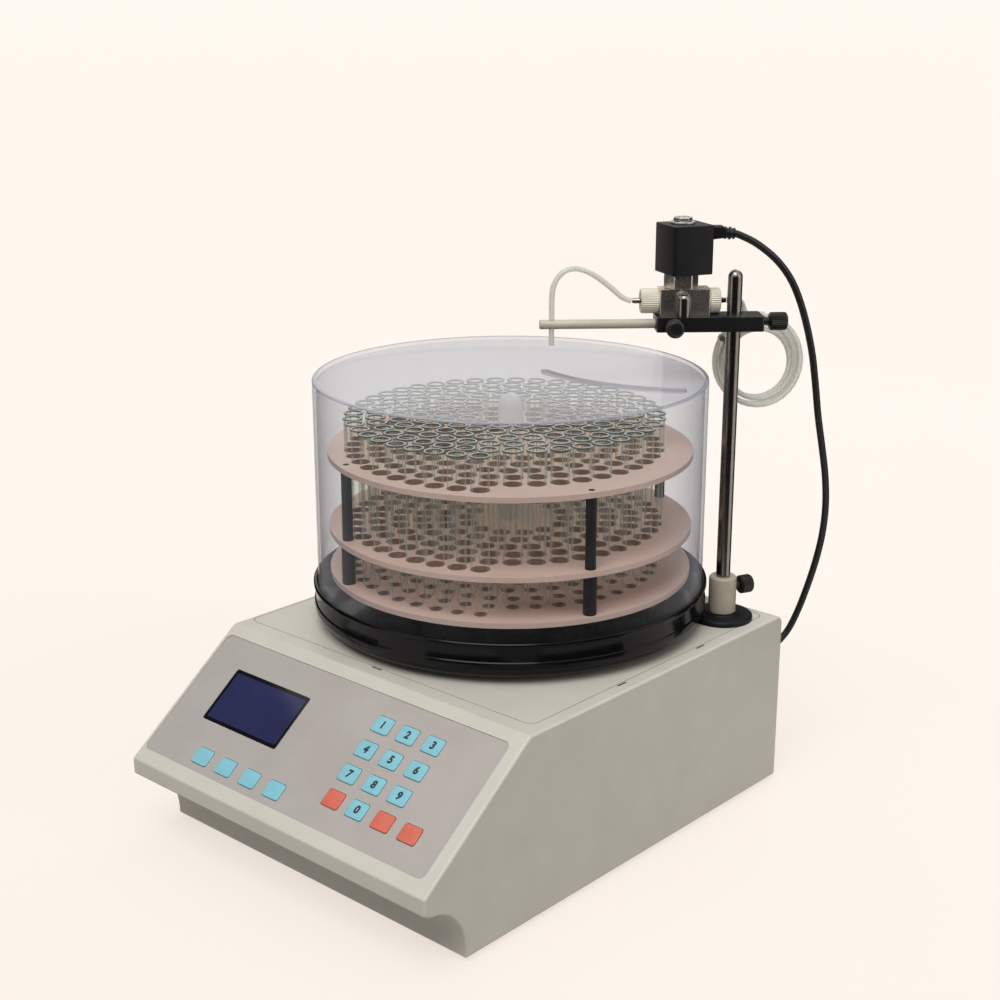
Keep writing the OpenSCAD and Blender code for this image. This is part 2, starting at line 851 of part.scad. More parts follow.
// ---- mast ----

module mast_socket() {
  color("#C9BFAB")
    at_mast()
      difference() {
        rotate_extrude()
          polygon([[0, 122], [motor_bore, 122], [motor_bore, socket_z], [socket_r - 0.4, socket_z],
            [socket_r, socket_z + 0.4], [socket_r, socket_top - 1.2], [socket_r - 1.2, socket_top],
            [0, socket_top]]);
        translate([0, 0, socket_z + 4])
          cylinder(h = 50, r = rod_d / 2 + 0.02);
        translate([0, 0, mast_screw_z])
          rotate([0, 0, mast_screw_angle])
            lying_x()
              cylinder(h = 20, r = 2.5 + running);
      }
}

module mast_rod() {
  r = rod_d / 2;
  color("#B8B8BC")
    at_mast()
      rotate_extrude()
        polygon([[0, socket_z + 4], [r, socket_z + 4], [r, rod_top - 3], [r - 1, rod_top - 1.2],
          [r - 3, rod_top], [0, rod_top]]);
}

// A thumbscrew: shaft, collar and knurled knob, from its tip outwards
module thumbscrew(shaft, collar, knob_r, knob_len) {
  translate([0, 0, shaft + 0.2])
    cylinder(h = collar, r = 3.5);
  cylinder(h = shaft + 1, r = 2.5);
  translate([0, 0, shaft + collar])
    rotate_extrude()
      polygon([[0, 0], [knob_r - 1, 0], [knob_r, 1], [knob_r, knob_len - 1.5], [knob_r - 1.5, knob_len],
        [0, knob_len]]);
}

module mast_screw() {
  color("#181818")
    at_mast()
      rotate([0, 0, mast_screw_angle])
        translate([rod_d / 2 + 0.1, 0, mast_screw_z])
          lying_x()
            thumbscrew(6, 4, 8, 12);
}

// ---- head ----

module clamp_bar() {
  color("#1A1A1C")
    at_mast() {
      difference() {
        union() {
          translate([0, 0, bar_z])
            round_plate([bar_from, -bar_depth / 2], [bar_to, bar_depth / 2], 2, bar_h);
          // Polished stop pin in front of the valve
          translate([stem_x - 0.5, 8, bar_z + bar_h - 1])
            rotate_extrude()
              polygon([[0, 0], [5.7, 0], [5.7, 16.5], [4.6, 18.8], [2.4, 20], [0, 20]]);
        }
        translate([0, 0, bar_z - 1])
          cylinder(h = bar_h + 2, r = rod_d / 2 + running);
        translate([16, 0, arm_z])
          lying_x()
            cylinder(h = 60, r = arm_d / 2 + running);
        translate([bar_from - 1, 0, bar_z + bar_h / 2])
          lying_x()
            cylinder(h = -bar_from, r = 2.5 + running);
        translate([arm_screw_x, 1, arm_z])
          lying_y()
            cylinder(h = 20, r = 2.5 + running);
      }
    }
}

module clamp_screw() {
  color("#181818")
    at_mast()
      translate([-rod_d / 2 - 0.2, 0, bar_z + bar_h / 2])
        rotate([0, 0, 180])
          lying_x()
            thumbscrew(-bar_from - rod_d / 2, 6, 7.5, 15);
}

module arm_screw() {
  color("#181818")
    at_mast()
      translate([arm_screw_x, arm_d / 2 + 0.2, arm_z])
        lying_y()
          thumbscrew(bar_depth / 2 - arm_d / 2, 3, 7.5, 12);
}

module valve_body() {
  color("#A9A9A5")
    at_mast()
      difference() {
        union() {
          translate([0, 0, bar_z + bar_h])
            round_plate([valve_x - valve_w / 2, valve_y - valve_depth / 2],
              [valve_x + valve_w / 2, valve_y + valve_depth / 2], 1, valve_h);
          translate([stem_x, valve_y, bar_z + bar_h + valve_h - 1])
            cylinder(h = hex_h + 1, r = 14.5, $fn = 6);
        }
        translate([stem_x, valve_y, port_z - 0.5])
          cylinder(h = 60, r = 5 + running);
        translate([0, valve_y, port_z])
          lying_x()
            cylinder(h = 80, r = 1.8);
      }
}

// The coil in its black casing, with a sloped cable boss, a washer and a nut on top
module solenoid_coil() {
  color("#1A1A1A")
    at_mast()
      difference() {
        union() {
          translate([coil_x, valve_y, coil_z])
            rotate([0, 0, 18])
              centred_plate([coil_w, coil_w], 3, coil_h);
          translate([7.5, valve_y - 6, coil_z + coil_h - 14])
            cube([18, 12, 12]);
          translate([stem_x, valve_y, coil_z + coil_h - 1])
            cylinder(h = 3, r = 10.5);
          translate([stem_x, valve_y, coil_z + coil_h + 1])
            cylinder(h = 4.7, r = 8, $fn = 6);
        }
        translate([stem_x, valve_y, coil_z - 1])
          cylinder(h = 30, r = 5 + running);
      }
}

module valve_plunger() {
  color("silver")
    at_mast()
      translate([stem_x, valve_y, port_z + 2])
        cylinder(h = 42, r = 5);
}

module knurled_nut(length) {
  lying_x()
    difference() {
      rotate_extrude()
        polygon([[0, 0], [9.5, 0], [10.3, 0.8], [10.3, length - 0.8], [9.5, length], [0, length]]);
      translate([0, 0, -1])
        cylinder(h = length + 2, r = 2.6);
    }
}

module knurled_nuts() {
  color("#DDD8C6")
    at_mast() {
      translate([valve_x + valve_w / 2, valve_y, port_z])
        knurled_nut(15);
      translate([valve_x - valve_w / 2 - 9, valve_y, port_z])
        knurled_nut(9);
    }
}

// A hose barb: a hollow pipe whose ridges grip the tube
module hose_barb(length) {
  lying_x()
    rotate_extrude()
      polygon([[0.9, 0], [2.1, 0], [2.1, length - 6], [2.4, length - 6], [2, length - 3.2],
        [2.4, length - 3.2], [1.9, length], [0.9, length]]);
}

module hose_barbs() {
  color("#C8C8C8")
    at_mast() {
      translate([valve_x + valve_w / 2, valve_y, port_z])
        hose_barb(left_barb_end - valve_x - valve_w / 2);
      translate([valve_x - valve_w / 2, valve_y, port_z])
        rotate([0, 0, 180])
          hose_barb(valve_x - valve_w / 2 - right_barb_end);
    }
}

module drip_arm() {
  color("#D9D4C6")
    at_mast()
      difference() {
        translate([30, 0, arm_z])
          lying_x()
            rotate_extrude()
              polygon([[0, 0], [arm_d / 2, 0], [arm_d / 2, 129], [arm_d / 2 - 1, 130], [0, 130]]);
        translate([drip_reach, 0, arm_z - 10])
          cylinder(h = 20, r = hose_d / 2 + 0.1);
      }
}

// ---- soft tubes and cable ----

module drip_tube() {
  color("#DDE0DA")
    at_mast()
      swept_tube(curve(drip_route, 2), hose_d, 8, [0, 1, 0]);
}

module inlet_tube() {
  color("#DDE0DA")
    at_mast()
      swept_tube(curve(inlet_route, 2), hose_d, 8, [0, 1, 0]);
}

module inlet_coil() {
  color("#DDE0DA")
    at_mast()
      swept_tube(coil_path, hose_d, 6, [0, 1, 0]);
}

module valve_cable() {
  color("#151515")
    placed()
      swept_tube(curve(cable_route, 2), cable_d, 8, [1, 0, 0]);
}

case_shell();
top_plate();
base_plate();
rubber_feet();
panel_overlay();
display_window();
control_board();
power_transformer();
power_inlet();
power_switch();
case_screws();
for (k = [0:9]) color("#8CCAD8") key(number_places[k]);
for (k = [1:4]) color("#8CCAD8") key(function_places[k - 1]);
for (k = [1:3]) color("#E0705A") key(red_places[k - 1]);
spill_dish();
spindle_housing();
drive_motors();
mast_bearing();
cable_gland();
spindle();
drive_gear();
drive_pinion();
upper_disc();
middle_disc();
lower_disc();
rack_posts();
rack_handle();
test_tubes();
clear_cover();
mast_socket();
mast_rod();
mast_screw();
clamp_bar();
clamp_screw();
arm_screw();
valve_body();
solenoid_coil();
valve_plunger();
knurled_nuts();
hose_barbs();
drip_arm();
drip_tube();
inlet_tube();
inlet_coil();
valve_cable();
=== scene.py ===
# %% [markdown]
# # A bench fraction collector
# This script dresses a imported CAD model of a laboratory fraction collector. A cream case carries a
# keypad and a black spill dish. In the dish a rack of glass tubes turns under a clear cover, and a
# mast holds the valve that feeds the drip tube. The CAD model is loaded first, as a fixed frame, and
# every piece is made in the same places.

# %% Load the frame
import json
from math import cos, pi, radians, sin, sqrt

import bmesh
import bpy
import numpy as np
from mathutils import Vector
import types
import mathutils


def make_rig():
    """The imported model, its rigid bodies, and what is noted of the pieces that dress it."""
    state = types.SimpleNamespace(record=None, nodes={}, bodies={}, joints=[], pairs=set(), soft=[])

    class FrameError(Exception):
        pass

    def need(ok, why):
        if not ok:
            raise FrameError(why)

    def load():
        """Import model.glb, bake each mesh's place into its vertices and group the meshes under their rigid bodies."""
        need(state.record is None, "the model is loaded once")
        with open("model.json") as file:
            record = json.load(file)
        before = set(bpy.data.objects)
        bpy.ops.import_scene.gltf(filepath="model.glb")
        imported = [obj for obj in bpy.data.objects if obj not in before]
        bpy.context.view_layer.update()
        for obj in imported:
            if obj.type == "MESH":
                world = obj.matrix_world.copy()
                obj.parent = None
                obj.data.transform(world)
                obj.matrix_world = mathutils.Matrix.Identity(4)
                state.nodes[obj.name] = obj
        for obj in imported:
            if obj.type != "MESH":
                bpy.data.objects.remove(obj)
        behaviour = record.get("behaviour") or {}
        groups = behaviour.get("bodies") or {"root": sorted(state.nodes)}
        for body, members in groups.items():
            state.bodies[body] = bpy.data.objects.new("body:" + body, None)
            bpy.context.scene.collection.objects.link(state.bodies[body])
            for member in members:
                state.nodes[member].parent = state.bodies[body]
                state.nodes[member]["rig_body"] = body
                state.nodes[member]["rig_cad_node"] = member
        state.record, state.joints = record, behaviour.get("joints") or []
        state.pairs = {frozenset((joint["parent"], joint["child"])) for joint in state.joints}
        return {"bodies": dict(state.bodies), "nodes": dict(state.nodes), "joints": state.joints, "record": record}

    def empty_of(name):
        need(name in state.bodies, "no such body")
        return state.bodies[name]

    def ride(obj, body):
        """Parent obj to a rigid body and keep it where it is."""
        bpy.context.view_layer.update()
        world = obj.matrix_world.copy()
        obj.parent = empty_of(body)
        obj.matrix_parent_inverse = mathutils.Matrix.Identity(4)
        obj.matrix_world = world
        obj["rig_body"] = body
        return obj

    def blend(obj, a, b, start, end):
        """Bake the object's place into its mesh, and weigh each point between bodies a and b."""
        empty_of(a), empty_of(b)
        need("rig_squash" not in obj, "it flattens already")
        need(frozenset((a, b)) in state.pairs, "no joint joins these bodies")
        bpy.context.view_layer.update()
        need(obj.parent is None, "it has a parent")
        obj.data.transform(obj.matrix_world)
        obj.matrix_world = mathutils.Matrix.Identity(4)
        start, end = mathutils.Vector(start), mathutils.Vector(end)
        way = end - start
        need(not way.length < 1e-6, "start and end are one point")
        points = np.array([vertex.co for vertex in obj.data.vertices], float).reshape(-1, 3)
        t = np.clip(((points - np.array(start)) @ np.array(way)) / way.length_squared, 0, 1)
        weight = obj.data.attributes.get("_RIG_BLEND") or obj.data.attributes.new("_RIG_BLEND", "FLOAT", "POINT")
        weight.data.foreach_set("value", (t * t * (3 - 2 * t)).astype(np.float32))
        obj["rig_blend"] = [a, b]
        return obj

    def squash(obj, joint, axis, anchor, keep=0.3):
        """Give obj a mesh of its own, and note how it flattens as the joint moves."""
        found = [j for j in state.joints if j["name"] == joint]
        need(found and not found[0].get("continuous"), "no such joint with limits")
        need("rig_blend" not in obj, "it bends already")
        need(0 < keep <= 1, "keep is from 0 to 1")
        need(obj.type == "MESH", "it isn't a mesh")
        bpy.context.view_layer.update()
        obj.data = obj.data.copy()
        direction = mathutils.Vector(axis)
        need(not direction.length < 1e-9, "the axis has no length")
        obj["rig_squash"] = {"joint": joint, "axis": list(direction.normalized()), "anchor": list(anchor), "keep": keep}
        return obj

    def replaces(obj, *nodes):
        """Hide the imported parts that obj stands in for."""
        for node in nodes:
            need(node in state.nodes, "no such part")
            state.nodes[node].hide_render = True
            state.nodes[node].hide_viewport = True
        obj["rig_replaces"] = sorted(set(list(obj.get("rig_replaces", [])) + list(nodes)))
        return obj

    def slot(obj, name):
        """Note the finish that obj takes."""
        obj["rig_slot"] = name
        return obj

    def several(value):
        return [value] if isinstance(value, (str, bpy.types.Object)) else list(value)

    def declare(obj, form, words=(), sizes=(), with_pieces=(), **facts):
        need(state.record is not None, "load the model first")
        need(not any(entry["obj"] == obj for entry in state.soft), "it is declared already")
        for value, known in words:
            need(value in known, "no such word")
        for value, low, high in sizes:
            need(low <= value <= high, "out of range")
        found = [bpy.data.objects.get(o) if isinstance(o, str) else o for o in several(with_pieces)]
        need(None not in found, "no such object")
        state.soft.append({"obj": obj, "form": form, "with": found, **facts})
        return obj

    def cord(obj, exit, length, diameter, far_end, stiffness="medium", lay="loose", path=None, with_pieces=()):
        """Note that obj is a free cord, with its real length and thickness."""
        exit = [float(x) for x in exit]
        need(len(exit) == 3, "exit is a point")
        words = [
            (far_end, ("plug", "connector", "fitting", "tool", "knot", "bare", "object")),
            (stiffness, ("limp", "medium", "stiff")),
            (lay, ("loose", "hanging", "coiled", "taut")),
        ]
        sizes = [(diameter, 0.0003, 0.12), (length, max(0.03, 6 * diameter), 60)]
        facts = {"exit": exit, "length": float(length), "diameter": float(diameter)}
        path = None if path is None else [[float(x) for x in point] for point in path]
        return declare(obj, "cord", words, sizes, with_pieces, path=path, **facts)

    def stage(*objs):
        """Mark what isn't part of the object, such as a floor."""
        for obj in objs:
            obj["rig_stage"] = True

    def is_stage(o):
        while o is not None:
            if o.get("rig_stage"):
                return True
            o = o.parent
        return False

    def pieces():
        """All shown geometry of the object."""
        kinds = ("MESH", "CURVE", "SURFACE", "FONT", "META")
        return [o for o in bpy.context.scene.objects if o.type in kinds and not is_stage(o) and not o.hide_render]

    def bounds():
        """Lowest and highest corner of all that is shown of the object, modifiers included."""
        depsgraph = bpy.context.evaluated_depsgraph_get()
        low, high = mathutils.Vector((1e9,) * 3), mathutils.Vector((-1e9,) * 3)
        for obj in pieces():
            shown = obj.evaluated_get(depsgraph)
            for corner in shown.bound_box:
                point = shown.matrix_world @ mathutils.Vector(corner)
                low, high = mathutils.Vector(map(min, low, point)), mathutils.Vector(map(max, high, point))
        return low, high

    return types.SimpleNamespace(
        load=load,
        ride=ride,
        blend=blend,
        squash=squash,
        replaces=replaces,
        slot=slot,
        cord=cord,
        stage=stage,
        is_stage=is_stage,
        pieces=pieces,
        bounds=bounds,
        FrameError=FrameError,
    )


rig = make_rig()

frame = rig.load()
cad_box = [[float(x) for x in corner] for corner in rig.bounds()]
print("CAD box in metres:", cad_box)

# %% [markdown]
# ## Places
# The CAD source draws the case from the rack's axis in millimetres, and the head from the mast's axis.
# Three small functions turn such a place into a point of the frame, so that the numbers below can be
# compared with the source. Three more shift such a function, or turn its axes for an outline.

# %% Points of the case, of the head and of the slope
MM = 0.001
# Where the rack's axis stands in the frame, and where the mast's axis stands from it
RACK = (-6.75, 62, 3.5)
MAST_REACH, MAST_ANGLE = 184, 37
MAST = (MAST_REACH * cos(radians(MAST_ANGLE)), MAST_REACH * sin(radians(MAST_ANGLE)))
# The case's sides, back, front lip, plinth and top, and the two creases of its slope
LEFT, RIGHT, BACK, LIP, PLINTH, TOP = -155.5, 183.5, 151.5, -294, -251, 152.4
CREASE, LIP_TOP = -182, 65.7
SLOPE = np.arctan2(TOP - LIP_TOP, CREASE - LIP)
# Heights on the head: the bar, the valve's block, hexagon, casing and washer, and the axes of the arm,
# of the clamp's screw and of the flow through the valve
BAR_LOW, BAR_TOP, BLOCK_TOP, HEXAGON_TOP, CASING_TOP, WASHER_TOP = 406, 418, 439, 451.4, 491.4, 493.4
ARM_Z, SCREW_Z, FLOW_Z = 411, 412, 428.5


def case_point(x, y, z):
    return Vector((x + RACK[0], y + RACK[1], z + RACK[2])) * MM


def head_point(x, y, z):
    """x runs out along the drip arm, and y towards the front."""
    c = sqrt(0.5)
    return case_point(MAST[0] - c * x + c * y, MAST[1] - c * x - c * y, z)


def slope_point(x, s, z):
    """s runs down the slope from its crease, and z stands out of it."""
    return case_point(x, CREASE - s * cos(SLOPE) - z * sin(SLOPE), TOP - s * sin(SLOPE) + z * cos(SLOPE))


def shifted(place, dx, dy):
    """The same kind of place, counted from (dx, dy)."""
    return lambda x, y, z: place(dx + x, dy + y, z)


def along_x(place):
    """For an outline of y and z that is raised along x."""
    return lambda y, z, x: place(x, y, z)


def along_y(place):
    """For an outline of x and z that is raised along y."""
    return lambda x, z, y: place(x, y, z)


print("mast stands at", [round(v, 4) for v in head_point(0, 0, 400)])

# %% [markdown]
# ## Camera
# The camera was solved from the photograph: it stands in front of the right corner, a little above the
# mast's head, and looks down by 17 degrees. A lens of 60 mm on a 36 mm sensor gives the same perspective.

# %% Camera
YAW, PITCH, LENS = 0.7357, -0.2966, 59.654
CAMERA_AT = (907.45, -1015.43, 669.73)
FLOOR_HALF = 500  # metres, so that the floor's edge is out of sight
look = Vector((-sin(YAW) * cos(PITCH), cos(YAW) * cos(PITCH), sin(PITCH)))
camera = bpy.data.objects.new("camera", bpy.data.cameras.new("camera"))
camera.data.lens = LENS
camera.data.sensor_width = 36
camera.data.clip_end = 2 * FLOOR_HALF
camera.location = case_point(*CAMERA_AT)
camera.rotation_euler = look.to_track_quat("-Z", "Y").to_euler()
bpy.context.scene.collection.objects.link(camera)
bpy.context.scene.camera = camera
print("camera at", [round(v, 3) for v in camera.location])

# %% [markdown]
# ## Mesh helpers
# Most pieces are turned, swept or cut from a flat outline. Each helper returns plain points and faces,
# and one more turns them into a piece that rides on a body of the frame. Smooth shading stops at edges
# sharper than a set angle.

# %% A piece from points and faces
def piece(name, points, faces, material, body=None, smooth=35):
    mesh = bpy.data.meshes.new(name)
    mesh.from_pydata([tuple(p) for p in points], [], [tuple(f) for f in faces])
    work = bmesh.new()
    work.from_mesh(mesh)
    bmesh.ops.recalc_face_normals(work, faces=work.faces)
    work.to_mesh(mesh)
    work.free()
    mesh.materials.append(material)
    mesh.shade_smooth()
    mesh.set_sharp_from_angle(angle=radians(smooth))
    obj = bpy.data.objects.new(name, mesh)
    bpy.context.scene.collection.objects.link(obj)
    if body:
        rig.ride(obj, body)
    return obj


def joined(*shapes):
    """Several shapes as one list of points and one of faces."""
    points, faces = [], []
    for shape in shapes:
        start = len(points)
        points += list(shape[0])
        faces += [[i + start for i in face] for face in shape[1]]
    return points, faces


def carve(target, shapes):
    """Takes the shapes away from the target, and leaves a plain mesh."""
    cutters = [piece("cutter", *shape, target.data.materials[0]) for shape in shapes]
    for cutter in cutters:
        cut = target.modifiers.new("cut", "BOOLEAN")
        cut.operation, cut.solver, cut.object = "DIFFERENCE", "EXACT", cutter
    graph = bpy.context.evaluated_depsgraph_get()
    mesh = bpy.data.meshes.new_from_object(target.evaluated_get(graph))
    target.modifiers.clear()
    target.data = mesh
    mesh.shade_smooth()
    mesh.set_sharp_from_angle(angle=radians(32))
    for cutter in cutters:
        bpy.data.objects.remove(cutter)


def soften(obj, width, segments=3):
    """Rounds the sharp edges by width, in millimetres."""
    bevel = obj.modifiers.new("soft edges", "BEVEL")
    bevel.width = width * MM
    bevel.segments = segments
    bevel.limit_method = "ANGLE"
    bevel.angle_limit = radians(40)
    bevel.harden_normals = True


def part(name, shape, material, body, slot, node=None, smooth=35, cuts=(), soft=()):
    """A piece that is cut, softened and given its slot, and stands in for a CAD node if one is named."""
    obj = piece(name, *shape, material, body, smooth)
    if cuts:
        carve(obj, cuts)
    if soft:
        soften(obj, *soft)
    if node:
        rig.replaces(obj, node)
    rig.slot(obj, slot)
    return obj


# %% Outlines with round corners
def rounded(points, radii, n=6):
    """An outline whose corners are arcs. A single radius serves them all."""
    count = len(points)
    radii = radii if hasattr(radii, "__len__") else [radii] * count
    out = []
    for i, r in enumerate(radii):
        a, b, c = (np.array(points[(i + k) % count], float) for k in (-1, 0, 1))
        if r <= 0:
            out.append(tuple(b))
            continue
        u, v = (a - b) / np.linalg.norm(a - b), (c - b) / np.linalg.norm(c - b)
        half = np.arccos(np.clip(u @ v, -1, 1)) / 2
        if half > radians(88):  # almost straight
            out.append(tuple(b))
            continue
        # An arc takes up less than half of the shorter side
        r = min(r, 0.45 * np.tan(half) * min(np.linalg.norm(a - b), np.linalg.norm(c - b)))
        centre = b + (u + v) / np.linalg.norm(u + v) * r / np.sin(half)
        first, last = b + u * r / np.tan(half) - centre, b + v * r / np.tan(half) - centre
        start = np.arctan2(first[1], first[0])
        turn = (np.arctan2(last[1], last[0]) - start + 3 * pi) % (2 * pi) - pi
        out += [tuple(centre + r * np.array([cos(start + turn * k / n), sin(start + turn * k / n)]))
                for k in range(n + 1)]
    return out


def arc(middle, rx, ry, start, stop, count):
    """Points along an ellipse's arc, between two angles in radians."""
    return [(middle[0] + rx * cos(a), middle[1] + ry * sin(a)) for a in np.linspace(start, stop, count)]


def circle(r, middle=(0, 0), steps=40):
    return arc(middle, r, r, 0, 2 * pi, steps + 1)[:-1]


def plate(low, high, r):
    return rounded([low, (high[0], low[1]), high, (low[0], high[1])], r)


def centred(size, middle, r):
    return plate((middle[0] - size[0] / 2, middle[1] - size[1] / 2),
                 (middle[0] + size[0] / 2, middle[1] + size[1] / 2), r)


# %% Prisms, turned shapes and tubes
def loft(rings):
    """The skin over equal rings of points. Its first two faces are the flat ends."""
    n, points = len(rings[0]), [p for ring in rings for p in ring]
    faces = [tuple(range(n))[::-1], tuple(range(len(points) - n, len(points)))]
    for start in range(0, len(points) - n, n):
        for i in range(n):
            a, b = start + i, start + (i + 1) % n
            faces.append((a, b, b + n, a + n))
    return points, faces


def prism(outline, low, high, place):
    """An outline raised from low to high, put in its place by a function."""
    return loft([[place(x, y, z) for x, y in outline] for z in (low, high)])


def turned(profile, place, steps=96, ridges=None):
    """Turns a closed profile of (radius, height) about an axis. Ridges are (count, depth, low, high)."""
    if ridges:
        steps = ridges[0] * 4  # four steps to a ridge, which is cut in the outer wall only
    points, rows, faces = [], [], []
    for r, z in profile:
        row = []
        for k in range(steps if r > 1e-6 else 1):
            a = 2 * pi * k / steps
            cut = 0
            if ridges and ridges[2] <= z <= ridges[3] and r > 0.5 * max(p[0] for p in profile):
                cut = ridges[1] * (0, 0.5, 1, 0.5)[k % 4]
            row.append(len(points))
            points.append(place((r - cut) * cos(a), (r - cut) * sin(a), z))
        rows.append(row)
    for i, row in enumerate(rows):
        after = rows[(i + 1) % len(rows)]
        if len(row) == 1 and len(after) == 1:
            continue
        for k in range(steps):
            a, b = row[k % len(row)], row[(k + 1) % len(row)]
            c, d = after[(k + 1) % len(after)], after[k % len(after)]
            faces.append(tuple(dict.fromkeys((a, b, c, d))))
    return points, faces


def smooth_path(route, steps=4):
    """A smooth curve through the points of a route."""
    route = [np.array(p, float) for p in route]
    ends = [2 * route[0] - route[1]] + route + [2 * route[-1] - route[-2]]
    out = []
    for i in range(len(route) - 1):
        p0, p1, p2, p3 = ends[i:i + 4]
        for k in range(steps):
            t = k / steps
            out.append((2 * p1 + (p2 - p0) * t + (2 * p0 - 5 * p1 + 4 * p2 - p3) * t ** 2
                        + (3 * p1 - p0 - 3 * p2 + p3) * t ** 3) / 2)
    return out + [route[-1]]


def swept(path, radius, sides=16, bore=0):
    """A round tube along a path, in metres. With a bore it has an inner wall too."""
    path = [np.array(p, float) for p in path]
    heads = [path[min(i + 1, len(path) - 1)] - path[max(i - 1, 0)] for i in range(len(path))]
    side = np.array((0.31, 0.27, 0.91))  # a direction in which no path starts
    points, faces = [], []
    walls = [radius] + ([bore] if bore else [])
    for p, h in zip(path, heads):
        h = h / np.linalg.norm(h)
        side = side - (side @ h) * h
        side = side / np.linalg.norm(side)
        other = np.cross(h, side)
        for r in walls:
            points += [p + r * (cos(2 * pi * k / sides) * side + sin(2 * pi * k / sides) * other)
                       for k in range(sides)]
    ring, last = sides * len(walls), len(path) - 1
    for i in range(last):
        for w in range(len(walls)):
            for k in range(sides):
                a, b = i * ring + w * sides + k, i * ring + w * sides + (k + 1) % sides
                face = (a, b, b + ring, a + ring)
                faces.append(face if w == 0 else face[::-1])
    if bore:
        for i in (0, last):
            for k in range(sides):
                a, b = i * ring + k, i * ring + (k + 1) % sides
                face = (b, a, a + sides, b + sides)
                faces.append(face if i == 0 else face[::-1])
    else:
        faces += [tuple(range(sides))[::-1], tuple(range(last * ring, last * ring + sides))]
    return points, faces


def length_of(path):
    return float(sum(np.linalg.norm(np.array(b) - np.array(a)) for a, b in zip(path, path[1:])))


print("helpers ready")

# %% [markdown]
# ## Colours and nodes
# Colours are written as sRGB hex values, as they are read in a paint program, and one function turns
# them into the linear values that shaders use. One more function adds a node, with its settings and
# its inputs, whether these are numbers or links.

# %% Colour and node helpers
def linear(hex_colour):
    values = [int(hex_colour[i:i + 2], 16) / 255 for i in (1, 3, 5)]
    return (*[v / 12.92 if v <= 0.04045 else ((v + 0.055) / 1.055) ** 2.4 for v in values], 1.0)


def add(tree, kind, inputs=None, **settings):
    node = tree.nodes.new("ShaderNode" + kind)
    for key, value in settings.items():
        setattr(node, key, value)
    for key, value in (inputs or {}).items():
        if isinstance(value, bpy.types.NodeSocket):
            tree.links.new(value, node.inputs[key])
        else:
            node.inputs[key].default_value = value
    return node


def emptied(data):
    """The node tree of a new material or world, without its first nodes."""
    data.use_nodes = True
    data.node_tree.nodes.clear()
    return data.node_tree


def any_ray(tree, *kinds):
    """1 for a ray of one of these kinds, and 0 for the others."""
    rays = add(tree, "LightPath").outputs
    found = rays[kinds[0]]
    for kind in kinds[1:]:
        found = add(tree, "Math", {0: found, 1: rays[kind]}, operation="MAXIMUM").outputs[0]
    return found


def per_metre(mm):
    """A noise scale whose features are about that many millimetres wide."""
    return 1000 / mm


# %% [markdown]
# ## Surface finishes
# A real surface is never one flat colour. Paint has a faint orange peel, moulded plastic a fine grain,
# and both carry dust and handling marks. The function below gives each finish two close tones that
# drift over some centimetres, a roughness that varies with a fine grain, and that grain as relief. All
# of it is measured in millimetres. A grain too fine for the picture is drawn coarser, at 0.4 mm or more.

# %% One finish from two tones and a grain
def finish(name, light, dark, grain, rough, relief, drift=45, stretch=(1, 1, 1), specks=None, **sockets):
    """Lengths are in millimetres. specks are a colour and the distance between them."""
    material = bpy.data.materials.new(name)
    tree = emptied(material)
    place = add(tree, "TexCoord").outputs["Object"]
    drawn = add(tree, "VectorMath", {0: place, 1: stretch}, operation="MULTIPLY").outputs[0]
    tone = add(tree, "TexNoise", {"Vector": drawn, "Scale": per_metre(drift), "Detail": 5.0,
                                  "Roughness": 0.6})
    fine = add(tree, "TexNoise", {"Vector": drawn, "Scale": per_metre(grain), "Detail": 2.0})
    mixed = add(tree, "MapRange", {"Value": tone.outputs[0], "From Min": 0.3, "From Max": 0.7})
    tones = {0: mixed.outputs[0], 6: linear(dark), 7: linear(light)}
    colour = add(tree, "Mix", tones, data_type="RGBA").outputs[2]
    if specks:
        dots = add(tree, "TexVoronoi", {"Vector": place, "Scale": per_metre(specks[1]), "Randomness": 1.0})
        near = add(tree, "MapRange", {"Value": dots.outputs["Distance"], "From Min": 0.015,
                                      "From Max": 0.04, "To Min": 0.3, "To Max": 0.0})
        tones = {0: near.outputs[0], 6: colour, 7: linear(specks[0])}
        colour = add(tree, "Mix", tones, data_type="RGBA").outputs[2]
    gloss = add(tree, "MapRange", {"Value": fine.outputs[0], "From Min": 0.3, "From Max": 0.7,
                                   "To Min": rough[0], "To Max": rough[1]})
    bump = add(tree, "Bump", {"Height": fine.outputs[0], "Distance": relief * MM, "Strength": 1.0})
    shader = add(tree, "BsdfPrincipled", {"Base Color": colour, "Roughness": gloss.outputs[0],
                                          "Normal": bump.outputs[0]})
    for key, value in sockets.items():
        shader.inputs[key.replace("_", " ")].default_value = value
    add(tree, "OutputMaterial", {"Surface": shader.outputs[0]})
    return material


# %% [markdown]
# ## Clear materials
# Thin glass shows what is behind it almost unchanged, and is seen by its edges, where the wall turns
# away from the eye, and by its reflections. A mix of a transparent and a polished shader, weighted by
# the facing angle, gives just that. Shadow and diffuse rays pass straight through, so that the lamps
# reach what is inside. Real refraction would need a longer chain of rays than a rack of 153 tubes
# leaves time for.

